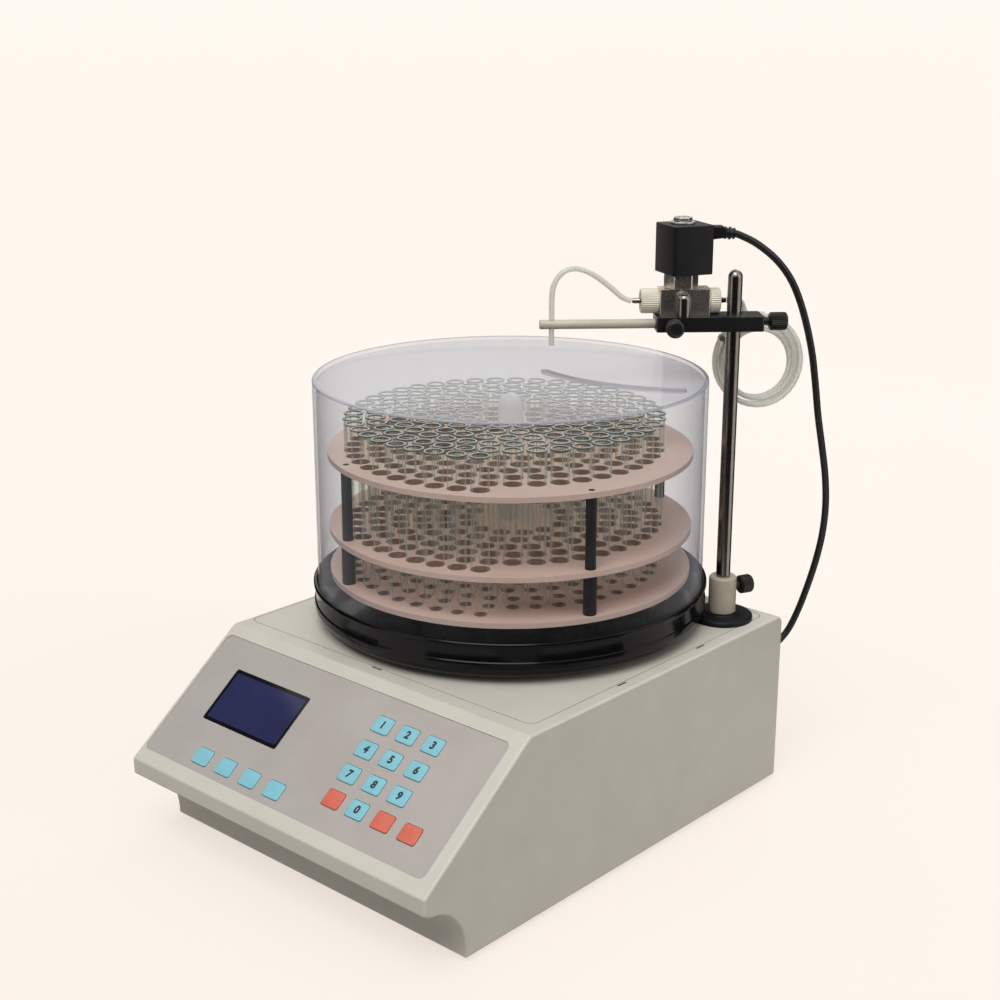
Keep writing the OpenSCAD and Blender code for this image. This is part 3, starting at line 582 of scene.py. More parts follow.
# %% A clear finish
def clear(name, tint, rim, share, rough, power=3.0, haze=0.0, body="#FFFFFF"):
    """tint and rim are seen through it, facing the eye and edge on. share is how much of body shows there."""
    material = bpy.data.materials.new(name)
    tree = emptied(material)
    place = add(tree, "TexCoord").outputs["Object"]
    facing = add(tree, "LayerWeight", {"Blend": 0.5}).outputs["Facing"]
    bent = add(tree, "Math", {0: facing, 1: power}, operation="POWER").outputs[0]
    cover = add(tree, "MapRange", {"Value": bent, "To Min": share[0], "To Max": share[1]}).outputs[0]
    drops = add(tree, "TexNoise", {"Vector": place, "Scale": per_metre(30), "Detail": 4.0})
    marks = add(tree, "MapRange", {"Value": drops.outputs[0], "From Min": 0.35, "From Max": 0.75,
                                   "To Min": 0.0, "To Max": haze}).outputs[0]
    total = add(tree, "Math", {0: cover, 1: marks}, operation="ADD", use_clamp=True).outputs[0]
    light = any_ray(tree, "Is Shadow Ray", "Is Diffuse Ray")
    passed = add(tree, "Math", {0: 1.0, 1: light}, operation="SUBTRACT").outputs[0]
    total = add(tree, "Math", {0: total, 1: passed}, operation="MULTIPLY").outputs[0]
    gloss = add(tree, "MapRange", {"Value": drops.outputs[0], "To Min": rough, "To Max": rough + 0.08})
    edge = add(tree, "Math", {0: bent, 1: passed}, operation="MULTIPLY").outputs[0]
    through = add(tree, "Mix", {0: edge, 6: linear(tint), 7: linear(rim)}, data_type="RGBA").outputs[2]
    see = add(tree, "BsdfTransparent", {"Color": through})
    shine = add(tree, "BsdfPrincipled", {"Base Color": linear(body), "Roughness": gloss.outputs[0], "IOR": 1.5})
    mix = add(tree, "MixShader", {0: total, 1: see.outputs[0], 2: shine.outputs[0]})
    add(tree, "OutputMaterial", {"Surface": mix.outputs[0]})
    return material


# %% The finishes of this machine
# Stoved paint on a moulded case: warm grey cream, with a low orange peel that softens its gloss
CREAM_PAINT = finish("stoved_cream_paint", "#D1CDC1", "#CAC6BA", 1.6, (0.36, 0.46), 0.012,
                     specks=("#8F8A7C", 26))
# Printed polyester film: flat grey with a fine velvet grain that breaks up reflections
OVERLAY_FILM = finish("printed_polyester_film", "#B5AFA9", "#AEA7A1", 0.7, (0.34, 0.42), 0.006,
                      Coat_Weight=0.1)
# Dyed display window: deep navy and polished, inside a border of opaque black ink
DISPLAY_NAVY = finish("dyed_window_navy", "#30325A", "#292C4E", 2, (0.10, 0.16), 0.001,
                      Specular_IOR_Level=0.35)
DISPLAY_BORDER = finish("screen_print_black", "#16161C", "#101014", 2, (0.12, 0.18), 0.001,
                        Specular_IOR_Level=0.35)
# Embossed film keys: printed from behind, so that the colour lies under a satin skin
KEY_BLUE = finish("embossed_film_blue", "#8AC9D7", "#80BECD", 0.8, (0.30, 0.38), 0.005, drift=12)
KEY_RED = finish("embossed_film_red", "#DC725D", "#D26552", 0.8, (0.30, 0.38), 0.005, drift=12)
# Screen-printed digits: matt blue black ink
KEY_INK = finish("screen_print_ink", "#26343C", "#202D34", 0.5, (0.4, 0.5), 0.002, drift=6)
# Zinc-plated steel: pale grey with a faint spangle
ZINC_STEEL = finish("zinc_plated_steel", "#BDBFC1", "#A9ABAD", 0.6, (0.28, 0.4), 0.004, drift=8, Metallic=1.0)
# Rubber from a sand-blasted mould: dull and dark grey
RUBBER = finish("moulded_rubber", "#2A2A2A", "#222222", 0.5, (0.75, 0.85), 0.02, drift=10)
# Green lacquer over glass fibre, with the weave just visible in its gloss
CIRCUIT_BOARD = finish("solder_mask_green", "#2F6B45", "#28603C", 1.2, (0.3, 0.4), 0.01, drift=9)
# A stack of thin steel sheets, drawn as stripes in the direction of the stack
LAMINATED = finish("laminated_steel_core", "#7A6D60", "#4F463D", 1, (0.4, 0.55), 0.05, drift=1.5,
                   stretch=(0.02, 1, 0.02), Metallic=0.6)
# Moulded ABS in black, from the tool's fine spark-eroded grain
BLACK_PLASTIC = finish("moulded_black_abs", "#141417", "#0F0F12", 0.6, (0.42, 0.52), 0.012, drift=14,
                       Specular_IOR_Level=0.22)
# Nylon of the knobs: black, worn a little smoother by fingers
KNOB_PLASTIC = finish("moulded_black_nylon", "#161618", "#101012", 0.5, (0.36, 0.48), 0.01, drift=6,
                      Specular_IOR_Level=0.35)
# Polished black styrene, vacuum formed: mirror-like, with hair scratches and dust
GLOSS_BLACK = finish("polished_black_styrene", "#0D0D10", "#09090B", 3, (0.08, 0.16), 0.003,
                     specks=("#4A4C50", 21), Specular_IOR_Level=0.16)
# Turned aluminium: the tool's fine marks spread its reflections
ALUMINIUM = finish("turned_aluminium", "#B4B4B4", "#A2A2A2", 0.4, (0.3, 0.42), 0.006, drift=5, Metallic=1.0)
# Ground and polished steel rod: fine rings from the grinding wheel run round it
POLISHED_STEEL = finish("ground_steel", "#8C8884", "#807C78", 0.5, (0.16, 0.26), 0.002, drift=20,
                        stretch=(0.3, 0.3, 3), Metallic=1.0)
# Acetal, from a satin mould: waxy cream, and tan for the mast's socket
CREAM_PLASTIC = finish("moulded_cream_acetal", "#C9C3B4", "#BFB8A8", 0.7, (0.34, 0.44), 0.008, drift=20)
SOCKET_PLASTIC = finish("moulded_tan_acetal", "#B7AD9C", "#A89F8E", 0.7, (0.38, 0.5), 0.01, drift=12)
# Extruded rigid vinyl sheet, cut to discs: warm pink beige and satin
DISC_PLASTIC = finish("rigid_vinyl_sheet", "#EBCCB9", "#E3C2AE", 1.2, (0.36, 0.46), 0.008, drift=60,
                      specks=("#A08C80", 34))
# The same sheet where a drill went through: rough and matt, and darker as painted shade of the hole
DRILLED_EDGE = finish("drilled_vinyl_edge", "#9C7A67", "#836353", 0.5, (0.6, 0.75), 0.02, drift=8)
# Anodised aluminium: a dyed black skin over a bead-blasted bar, with a soft sheen
BLACK_ANODISED = finish("black_anodised_aluminium", "#151518", "#101012", 0.5, (0.34, 0.46), 0.008, drift=16,
                        Specular_IOR_Level=0.4)
# Nickel-plated brass body: cast and tumbled, so the reflections are soft
NICKEL = finish("satin_nickel_plate", "#E0DBD3", "#CBC6BE", 0.9, (0.24, 0.36), 0.012, drift=9, Metallic=1.0)
# Ivory nylon nuts: satin, with a hint of yellow
IVORY_PLASTIC = finish("moulded_ivory_nylon", "#E6E1D0", "#DBD5C2", 0.6, (0.36, 0.46), 0.01, drift=8)
# Extruded cable sheath: black vinyl with a dull shine
CABLE_RUBBER = finish("cable_sheath_vinyl", "#151517", "#0F0F11", 0.8, (0.34, 0.46), 0.012, drift=20,
                      Specular_IOR_Level=0.4)
# Soft vinyl tie: plain light grey
GREY_TIE = finish("soft_grey_vinyl", "#A3A39E", "#94948F", 0.5, (0.45, 0.55), 0.01, drift=5)
# The slots beside the top plate: deep shade inside
DARK_GAP = finish("shaded_slot", "#1A1917", "#131211", 1, (0.7, 0.8), 0.01)
# The joint round the top plate is too narrow to see into: a brown strip laid on it is painted shade
JOINT_SHADE = finish("dusty_joint", "#7C7260", "#4E473A", 1.5, (0.7, 0.8), 0.01, drift=9)
print(len(bpy.data.materials), "finishes so far")

# %% Clear finishes
# Drawn soda glass tubes: clear, grey green where the wall turns away, with a dark green lip
TUBE_GLASS = clear("drawn_soda_glass", "#FEFEFD", "#BEC4B8", (0.004, 0.9), 0.04, 3.0, body="#F0F4EE")
LIP_GLASS = clear("fire_polished_lip", "#B9C1B4", "#465146", (0.06, 0.3), 0.06, 1.5, body="#DDE4D8")
# Painted highlight: the top of that lip gets a brighter finish, as if it catches the light
LIP_SHINE = clear("lit_lip", "#EEF1EA", "#C9CFC4", (0.5, 0.7), 0.06, 1.5, body="#F6F8F2")
# Cast acrylic, 3 mm thick: a cool grey tint, with wiping haze
ACRYLIC = clear("cast_acrylic", "#F5F6F8", "#E7E8EB", (0.008, 0.6), 0.03, 3.6, 0.01, body="#DCDDE1")
# Its sawn and flamed edges: almost clear, but they gather light and look lilac grey
ACRYLIC_EDGE = clear("flamed_acrylic_edge", "#E0E0E7", "#A9A9B4", (0.35, 0.8), 0.1, 1.0, body="#B4B4BE")
# Silicone tube: milky and soft, brightest along its middle
SILICONE = clear("extruded_silicone", "#F7F7F4", "#E4E6E2", (0.3, 0.8), 0.2, 1.2, body="#F1F1ED")
# Moulded nylon without pigment: milky white
MILKY_NYLON = clear("moulded_natural_nylon", "#EEEDEA", "#DCDAD6", (0.55, 0.9), 0.25, 1.0, body="#E9E7E2")
print(len(bpy.data.materials), "finishes in all")

# %% [markdown]
# ## Soft tubes and the cable
# These come before everything else that is made, because their room is tested first. Each is a real
# length of tube on one smooth curve, through the same points as the CAD routes. The drip tube leaves
# the valve, arches and goes down through the arm's end, and must bend where the arm slides. The inlet
# tube runs behind the clamp bar into a coil of four turns. The cable comes out of the case's back and
# climbs to the solenoid, so it bends with the mast and then with the head.

# %% Soft pieces, and the drip tube
HOSE, HOSE_BORE = 4.6, 3


def hose(name, node, path, body=None, sides=16):
    tube = swept(path, HOSE / 2 * MM, sides, HOSE_BORE / 2 * MM)
    return part(name, tube, SILICONE, body, "soft_tube", node, 60)


def as_cord(obj, path, diameter, far_end, lay="loose"):
    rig.cord(obj, exit=path[0], length=length_of(path), diameter=diameter * MM, far_end=far_end,
            stiffness="medium", lay=lay, path=path)


drip_path = [head_point(*p) for p in smooth_path(
    [(84, -8, 428.5), (88, -8, 429.8), (92, -7.8, 431.8), (98, -7.2, 437), (107, -6, 444.5), (118, -4.5, 452),
     (129, -3, 456), (138, -1.8, 455), (145, -0.8, 449.5), (149, -0.2, 441), (150, 0, 430), (150, 0, 418),
     (150, 0, 406), (150, 0, 393.5)])]
drip_tube = hose("drip_hose", "drip_tube", drip_path)
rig.blend(drip_tube, "head", "arm", start=head_point(96, 0, ARM_Z), end=head_point(140, 0, ARM_Z))
as_cord(drip_tube, drip_path, HOSE, "bare")
print("drip tube", round(length_of(drip_path), 3), "m")

# %% Inlet tube and its coil
inlet_path = [head_point(*p) for p in smooth_path(
    [(5, -8, 428.5), (1, -8.7, 428.5), (-3, -9.8, 428.2), (-6.5, -12, 427), (-9, -14.6, 424.6),
     (-10.6, -16.4, 421.3), (-12, -17.2, 418), (-14.4, -17.4, 415), (-19.9, -17.4, 413.7)])]
inlet_tube = hose("inlet_hose", "inlet_tube", inlet_path, "head")

# The outer turn's radius, how much taller than wide it hangs, the number of turns, and the steps from
# turn to turn and from layer to layer
COIL_R, COIL_SAG, TURNS = 37.2, 1.07, 4
SPREAD, LAYER_STEP = 5.5, 5.2
COIL_CENTRE = (-25.5, -17.4, 413.7 - COIL_SAG * COIL_R)


def coil_place(t):
    """The tube winds in through one layer and out again through the next."""
    r = COIL_R - SPREAD * (TURNS / 2 - abs(t - TURNS / 2))
    k = min(max((t - TURNS / 2 + 0.25) / 0.5, 0), 1)
    a = pi / 2 + 2 * pi * t
    return (COIL_CENTRE[0] + r * cos(a), COIL_CENTRE[1] - LAYER_STEP * k * k * (3 - 2 * k),
            COIL_CENTRE[2] + COIL_SAG * r * sin(a))


loops = [coil_place(i / 36) for i in range(36 * TURNS + 1)]
loops = [(loops[0][0] + HOSE, *loops[0][1:])] + loops + [(loops[-1][0] - HOSE, *loops[-1][1:])]
coil_path = [head_point(*p) for p in loops]
coil = hose("inlet_hose_coil", "inlet_coil", coil_path, "head", 14)
as_cord(inlet_tube, inlet_path, HOSE, "object")
as_cord(coil, coil_path, HOSE, "bare", "coiled")
print("inlet tube", round(length_of(inlet_path), 3), "m and its coil", round(length_of(coil_path), 3), "m")

# %% A tie round the coil
# A flat loop of soft vinyl goes round both layers of turns, where the photograph shows it
TIE_ANGLE, TIE_MIDDLE = radians(31.6), (31.9, -2.6)


def tie_point(r, across, along):
    a = TIE_ANGLE
    return head_point(COIL_CENTRE[0] + r * cos(a) - along * sin(a), COIL_CENTRE[1] + across,
                      COIL_CENTRE[2] + COIL_SAG * r * sin(a) + along * cos(a))


tie_loops = centred((14.6, 12.4), TIE_MIDDLE, 4), centred((13, 10.8), TIE_MIDDLE, 3.2)
n = len(tie_loops[0])
rings = [[tie_point(x, y, w) for x, y in loop] for w in (-2, 2) for loop in tie_loops]
tie_faces = []
for i in range(n):
    j = (i + 1) % n
    for a, b in ((0, 1), (1, 3), (3, 2), (2, 0)):
        tie_faces.append((a * n + i, a * n + j, b * n + j, b * n + i))
tie_points = [p for ring in rings for p in ring]
tie = part("coil_tie", (tie_points, tie_faces), GREY_TIE, "head", "soft_tube", soft=(0.2, 2))
coil_axis = head_point(-1, 0, 0) - head_point(0, 0, 0)
for soft in (coil, tie):
    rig.squash(soft, "mast_swing", axis=coil_axis, anchor=head_point(-64, -20, 378), keep=0.8)
print("tie has", len(tie_faces), "faces")

# %% Valve cable
CABLE = 6
cable_points = smooth_path(
    [(154, 161.5, 104), (154.2, 168, 104), (155.5, 176, 105.4), (159, 184.5, 110.5), (163.5, 193.5, 121),
     (168, 200.5, 138), (173, 205.5, 160), (178.5, 208.5, 185), (183.5, 209, 212), (187, 206, 240),
     (188.5, 200, 268), (188, 193, 295), (186.6, 185.5, 325), (185.6, 179.5, 355), (183.6, 173.5, 385),
     (178.6, 165.5, 417), (172.6, 156, 442), (164, 145.2, 460), (153.5, 132, 473.5), (145, 121.5, 480.6),
     (139.6, 116.3, 483.2), (136, 112.6, 483.5)])
cable_path = [case_point(*p) for p in cable_points]
MEETING = 44  # the point of the path where its two lengths meet
lower_path, upper_path = cable_path[:MEETING + 1], cable_path[MEETING:]
lower_cable, upper_cable = [
    part(name, swept(path, CABLE / 2 * MM, 20), CABLE_RUBBER, None, "cable_rubber", "valve_cable", 60)
    for name, path in (("valve_cable_lower", lower_path), ("valve_cable_upper", upper_path))]
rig.blend(lower_cable, "case", "mast", start=lower_path[4], end=lower_path[-2])
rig.blend(upper_cable, "mast", "head", start=upper_path[1], end=upper_path[-6])
as_cord(lower_cable, lower_path, CABLE, "object")
as_cord(upper_cable, upper_path, CABLE, "object")
print("cable", round(length_of(cable_path), 3), "m")

# %% [markdown]
# ## The case
# The case is one painted moulding. Its side view is an outline with a sloped keypad face, a front lip
# and a cove under the lip. Drawing that outline at a few distances from each side, a little smaller
# towards the edge, rounds every edge of the side faces at once. The hollow, the bed of the top plate
# and the bed of the keypad are then cut out with booleans, which keeps their edges crisp.

# %% Side view and outer skin
cove = arc((-290, 2.2), 39, 47, 0, radians(75), 16)
side_view = cove + [(LIP + 5, 49.2), (LIP, 52.2), (LIP, LIP_TOP), (CREASE, TOP), (BACK, TOP), (BACK, 0), (PLINTH, 0)]
side_view = rounded(side_view, [0] * len(cove) + [3, 2.6, 2.6, 6, 8, 3, 0], 8)


def inset(outline, distance):
    """The outline, moved inwards along the mitre of each corner."""
    out, n = [], len(outline)
    pts = [np.array(p, float) for p in outline]
    for i in range(n):
        e1, e2 = pts[i] - pts[i - 1], pts[(i + 1) % n] - pts[i]
        n1 = np.array((-e1[1], e1[0])) / np.linalg.norm(e1)
        n2 = np.array((-e2[1], e2[0])) / np.linalg.norm(e2)
        # The mitre of a sharp corner is kept short
        out.append(tuple(pts[i] + (n1 + n2) / max(1 + n1 @ n2, 0.4) * distance))
    return out


# inset() needs an outline that runs anticlockwise
area = sum(a[0] * b[1] - b[0] * a[1] for a, b in zip(side_view, side_view[1:] + side_view[:1]))
if area < 0:
    side_view = side_view[::-1]
EDGE = 2.2
sections = arc((LEFT + EDGE, EDGE), -EDGE, -EDGE, 0, pi / 2, 6)
sections += [(RIGHT - (x - LEFT), d) for x, d in sections[::-1]]
rows = [[case_point(x, *p) for p in inset(side_view, d)] for x, d in sections]
print("side view has", len(side_view), "points")

# %% Hollow, beds and rear openings
hollow = [(PLINTH + 4, -1), (PLINTH + 3.2, 14), (PLINTH - 3.5, 32), (PLINTH - 13, 45), (LIP + 9, 53.5),
          (LIP + 4, 55), (LIP + 4, 64.9), (-183.6, TOP - 5), (BACK - 3, TOP - 5), (BACK - 3, -1)]
OVERLAY, OVERLAY_AT = (323.5, 119), (10, 70)
SINK, FILM = 0.6, 1.4
INLET, SWITCH, GLAND_AT = ((28.4, 20.4), (-90, 45)), ((16.4, 23.4), (-48, 45)), (154, 104)


def about_plate(grow, r):
    """The outline of the top plate, grown on all sides."""
    return plate((-151 - grow, -167 - grow), (171 + grow, 139 + grow), r)


rear_openings = [centred(*INLET, 0), centred(*SWITCH, 0), circle(6.1, GLAND_AT, 32)]
case = part("case_moulding", loft(rows), CREAM_PAINT, "case", "cream_paint", "case_shell", 30, cuts=[
    prism(hollow, LEFT + 3, RIGHT - 3, along_x(case_point)),
    prism(about_plate(0.3, 8), TOP - 2.6, TOP + 10, case_point),
    prism(about_plate(-5, 5), TOP - 12, TOP + 12, case_point),
    prism(centred((OVERLAY[0] + 0.3, OVERLAY[1] + 0.3), OVERLAY_AT, 6), -SINK - FILM, 10, slope_point),
    prism(centred((OVERLAY[0] - 16, OVERLAY[1] - 8), OVERLAY_AT, 3), -14, 12, slope_point),
] + [prism(outline, BACK - 10, BACK + 10, along_y(case_point)) for outline in rear_openings])
# Its large flat faces stay flat in shading beside their round edges
even = case.modifiers.new("even shading", "WEIGHTED_NORMAL")
even.keep_sharp = True
print("case moulding:", len(case.data.polygons), "faces")

# %% Small dark slots beside the top plate, and the shadow line in the joint round it
PRY = (1.6, 11)
slot_shapes = [prism(centred(size, at, 0.7), TOP - 1.5, TOP + 0.03, case_point)
               for size, at in ((PRY[::-1], (8.3, -169.2)), (PRY, (173.4, -62.2)), (PRY, (173.4, 42.7)))]
part("pry_slots", joined(*slot_shapes), DARK_GAP, "case", "cream_paint")
joint_lines = [about_plate(0.1 + d, 8 + d) for d in (0.5, 0)]
joint_points, joint_faces = loft([[case_point(x, y, TOP + 0.02) for x, y in line] for line in joint_lines])
part("plate_joint", (joint_points, joint_faces[2:]), JOINT_SHADE, "case", "cream_paint")
print(len(slot_shapes), "slots and", len(joint_lines[0]), "points in the joint")

# %% [markdown]
# ## The keypad
# A sheet of printed film lies in a shallow bed on the slope. The display shows through a dark window,
# and seventeen keys are embossed pads of the same film, printed pale blue or red. The film itself is
# the CAD solid. The window and the keys are remade here with soft edges, and ten of the keys carry
# their digits.

# %% Display window
WINDOW, WINDOW_AT = (90.5, 49.7), (-71, 61.5)


def domed(size, middle, r, low, high, round_over, place, steps=4):
    """A raised plate whose top edge rolls over by round_over."""
    outlines = [(centred(size, middle, r), z) for z in (low, high - round_over)]
    for k in range(1, steps + 1):
        a = pi / 2 * k / steps
        inner = 2 * round_over * (1 - cos(a))
        outlines.append((centred((size[0] - inner, size[1] - inner), middle, max(r - inner / 2, 0.2)),
                         high - round_over * (1 - sin(a))))
    return loft([[place(x, y, z) for x, y in outline] for outline, z in outlines])


part("display_border", domed(WINDOW, WINDOW_AT, 3, -2.6, -SINK + 0.05, 0.35, slope_point), DISPLAY_BORDER,
     "case", "display", "display_window")
SCREEN = (WINDOW[0] - 6, WINDOW[1] - 6)
part("display_screen", domed(SCREEN, WINDOW_AT, 1.5, -2, -SINK + 0.12, 0.1, slope_point), DISPLAY_NAVY,
     "case", "display")
print("window", WINDOW, "mm")

# %% Keys and digits
KEY, PROUD = (17.7, 14.2), 0.8
COLUMNS, ROWS = (56, 83, 110), (34.7, 57.6, 80.4, 103)


def digit_shape(digit, x, s, top):
    """A bold slanted digit, as thin ink on the key."""
    text = bpy.data.curves.new("digit", "FONT")
    text.body, text.size, text.shear, text.offset = digit, 9, 0.1, 0.42
    text.align_x, text.align_y, text.resolution_u = "CENTER", "CENTER", 4
    holder = bpy.data.objects.new("digit", text)
    bpy.context.scene.collection.objects.link(holder)
    graph = bpy.context.evaluated_depsgraph_get()
    flat = bpy.data.meshes.new_from_object(holder.evaluated_get(graph))
    points = [slope_point(x + v.co.x, s - v.co.y, top) for v in flat.vertices]
    faces = [tuple(p.vertices) for p in flat.polygons]
    bpy.data.objects.remove(holder)
    return points, faces


def make_key(node, x, s, material, slot, digit=None):
    top = -SINK + PROUD
    cap = domed(KEY, (x, s), 2, -3, top, 0.55, slope_point, 5)
    rim = prism(centred((19.5, 16), (x, s), 2), -3, -2.1, slope_point)
    part(node + "_pad", joined(cap, rim), material, node, slot, node, 50)
    if digit:
        part(node + "_digit", digit_shape(digit, x, s, top + 0.03), KEY_INK, node, slot)


make_key("key_0", COLUMNS[1], ROWS[3], KEY_BLUE, "key_blue", "0")
for k in range(9):
    make_key(f"key_{k + 1}", COLUMNS[k % 3], ROWS[k // 3], KEY_BLUE, "key_blue", str(k + 1))
for k, x in enumerate((-87.4, -58.4, -29, 0.2)):
    make_key(f"function_key_{k + 1}", x, 116, KEY_BLUE, "key_blue")
for k, x in enumerate((57, 110.5, 138.5)):
    make_key(f"red_key_{k + 1}", x, ROWS[3], KEY_RED, "key_red")
print("17 keys")

# %% [markdown]
# ## The spill dish
# The dish is vacuum formed from polished black sheet: one turned profile with a rolled rim, a bead and
# a curved underside. Rounding the profile before it is turned gives the long thin highlights that
# show such a shape.

# %% Dish
dish_profile = rounded(
    [(120, 157.4), (120, TOP), (126, TOP), (126, 157.4), (160, 157.4), (164, 158.6), (166.8, 161.4), (168, 165.4),
     (169.6, 166.4), (169.6, 172), (168.6, 173), (168.6, 184.6), (170, 185.6), (170, 187.6), (169.2, 188.6),
     (167.4, 188.6), (166.6, 187.6), (166.6, 176), (161.5, 176), (161.5, 167.4), (159.9, 162.8), (155.5, 160.4),
     (25, 160.4), (25, 178), (22, 178), (22, 157.4)],
    [0, 0, 0, 1, 2.2, 2.4, 2, 1, 0.5, 0.6, 0.6, 0.8, 0.6, 0.7, 0.5, 0.5, 0.5, 0.4, 0.6, 2, 2.4, 2, 1, 0.8, 0.8, 1], 4)
part("spill_dish_formed", turned(dish_profile, case_point, 192), GLOSS_BLACK, "case", "gloss_black",
     "spill_dish", 28)
print("dish profile has", len(dish_profile), "points")

# %% [markdown]
# ## Glass tubes
# The tubes stand along a spiral, one pitch apart both along it and between its turns. Each is drawn
# glass with a round bottom and a fire-polished lip. The wall is one thin surface here, which is what
# the clear finish expects, and the lip is a ring of thicker glass with its own darker finish.

# %% Tube places
# Millimetres between neighbours, and from the axis to the first tube and to the last
PITCH_MM, OUTER, INNER = 19, 137, 36
rise = PITCH_MM / (2 * pi)
outer_turn, inner_turn = OUTER / rise, INNER / rise
count = int((outer_turn ** 2 - inner_turn ** 2) * rise / (2 * PITCH_MM))
turns = [sqrt(outer_turn ** 2 - 2 * i * PITCH_MM / rise) for i in range(count + 1)]
tube_places = [(rise * t * cos(radians(-58) + t - outer_turn), rise * t * sin(radians(-58) + t - outer_turn))
               for t in turns]
print(len(tube_places), "tubes")

# %% Tube glass
R, BOTTOM, LIP_Z = 7.5, 198.05, 331
bowl = arc((0, BOTTOM + R), R, R, -pi / 2, 0, 7)
wall = bowl + [(R, 240), (R, 290), (R, LIP_Z - 2.4), (R + 0.4, LIP_Z - 1.6)]
ring = arc((R - 0.1, LIP_Z - 1), 1.2, 1, -pi / 2, 1.5 * pi, 9)[:-1]


def open_turned(profile, place, steps):
    """A turned surface that is open at its end, without a return wall."""
    points, faces = turned(profile, place, steps)
    return points, faces[:-steps] if profile[0][0] > 1e-6 else faces[:(len(profile) - 1) * steps]


stands = [shifted(case_point, *place) for place in tube_places]
glass_shapes = [open_turned(wall, stand, 20) for stand in stands]
lip_shapes = [turned(ring, stand, 20) for stand in stands]
tubes = part("glass_tubes", joined(*glass_shapes), TUBE_GLASS, "rack", "tube_glass", "test_tubes", 80)
lips = part("glass_tube_lips", joined(*lip_shapes), LIP_GLASS, "rack", "tube_glass", smooth=80)
lips.data.materials.append(LIP_SHINE)
# Faces that point up take the painted highlight
for face in lips.data.polygons:
    face.material_index = int(face.normal.z > 0.5)
print("glass:", len(tubes.data.polygons) + len(lips.data.polygons), "faces")

# %% Drilled edges of the holes, darkened as painted shade
# A drill leaves a rough wall. Its lining is painted dark to stand for the shade inside each hole: a dark oval round the
# foot of each tube. Each disc has its top's height and the radius of its holes. The lowest holds the round ends
DISC, DISCS = 4.45, ((302.7, 7.95), (238, 7.95), (200.2, 5.45))
hole_shapes = [open_turned([(hole_r, disc_top - DISC), (hole_r, disc_top - 0.03)], stand, 24)
               for disc_top, hole_r in DISCS for stand in stands]
part("drilled_edges", joined(*hole_shapes), DRILLED_EDGE, "rack", "disc_plastic", smooth=80)
print(len(hole_shapes), "drilled edges")

# %% [markdown]
# ## Posts and handle of the rack
# Four black posts with spacers hold the discs apart, and end flush in the upper one. The handle is a
# hollow column on the spindle, with a rounded knob of natural nylon that is seen through the lid.

# %% Posts and handle
post_profile = rounded(
    [(0, 189.7), (2.5, 189.7), (2.5, 191.7), (4.5, 191.7), (4.5, 195.7), (2.5, 195.7), (2.5, 200.2), (5.5, 200.2),
     (5.5, 233.5), (2.5, 233.5), (2.5, 238), (4.4, 238), (4.4, 298.2), (2.5, 298.2), (2.5, 303), (0, 303)],
    [0, 0.3, 0, 0.3, 0.3, 0, 0, 0.5, 0.5, 0, 0, 0.5, 0.5, 0, 0.3, 0], 3)
POST_REACH = 148
post_shapes = [turned(post_profile, shifted(case_point, POST_REACH * cos(a), POST_REACH * sin(a)), 32)
               for a in (radians(k) for k in (67, 157, 247, 337))]
part("rack_posts_turned", joined(*post_shapes), BLACK_PLASTIC, "rack", "black_plastic", "rack_posts", 30)
handle_profile = ([(6.05, 195.7), (8.98, 195.7), (8.98, 322.7), (10.5, 324.7), (10.5, 336)]
                  + arc((0, 337.2), 10.5, 10.4, 0.12, pi / 2, 8) + [(0, 236), (6.05, 234)])
part("rack_handle_moulded", turned(handle_profile, case_point, 48), MILKY_NYLON, "rack", "cream_plastic",
     "rack_handle", 30)
print(len(post_shapes), "posts and a handle")

# %% [markdown]
# ## The clear cover
# The cover is an acrylic tube with a lid cemented on, and an arc slot cut in the lid for the drip
# tube. It is the one piece through which the whole rack is seen, so it is turned from a true 3 mm wall
# in fine steps, and the slot is cut with a boolean.

# %% Cover
cover_profile = rounded([(163, 176.1), (166, 176.1), (166, 363.9), (162.6, 363.9), (0.4, 363.9), (0.4, 360.9),
                         (163, 360.9)], [0.4, 0.4, 1.2, 0, 0, 0, 0.6], 4)
# The slot is an arc about the mast. The photograph shows the lid turned round by some 36 degrees
LID_ANGLE, SLOT_REACH, SLOT_HALF = 73, 150, 3
SLOT_FROM, SLOT_TO = 253, 305
slot_middle = (MAST_REACH * cos(radians(LID_ANGLE)), MAST_REACH * sin(radians(LID_ANGLE)))


def slot_side(r, start, stop):
    """One long side of the slot, and the round end that follows it."""
    side = arc(slot_middle, r, r, radians(start), radians(stop), 27)
    end = (slot_middle[0] + SLOT_REACH * cos(radians(stop)), slot_middle[1] + SLOT_REACH * sin(radians(stop)))
    turn = radians(stop if stop > start else stop + 180)
    return side + arc(end, SLOT_HALF, SLOT_HALF, turn, turn + pi, 13)[1:-1]


arc_slot = (slot_side(SLOT_REACH + SLOT_HALF, SLOT_FROM, SLOT_TO)
            + slot_side(SLOT_REACH - SLOT_HALF, SLOT_TO, SLOT_FROM))
cover = part("acrylic_cover", turned(cover_profile, case_point, 256), ACRYLIC, "cover", "clear_acrylic",
             "clear_cover", 40, cuts=[prism(arc_slot, 358, 366, case_point)])
cover.data.materials.append(ACRYLIC_EDGE)
for face in cover.data.polygons:
    at = face.center / MM - Vector(RACK)
    off_arc = abs((at.xy - Vector(slot_middle)).length - SLOT_REACH)
    on_slot = at.z > 360 and abs(face.normal.z) < 0.3 and off_arc < SLOT_HALF + 1 and at.xy.length < 160
    on_rim = at.z > 362 and at.xy.length > 162.6
    face.material_index = int(on_slot or on_rim)
edge_faces = sum(face.material_index for face in cover.data.polygons)
print("cover:", len(cover.data.polygons), "faces,", edge_faces, "of them on its edges")

# %% [markdown]
# ## The mast
# A ground steel rod stands in a moulded socket, which turns in a black flange on the case. All three
# are turned shapes. A knurled knob clamps the rod in its socket.

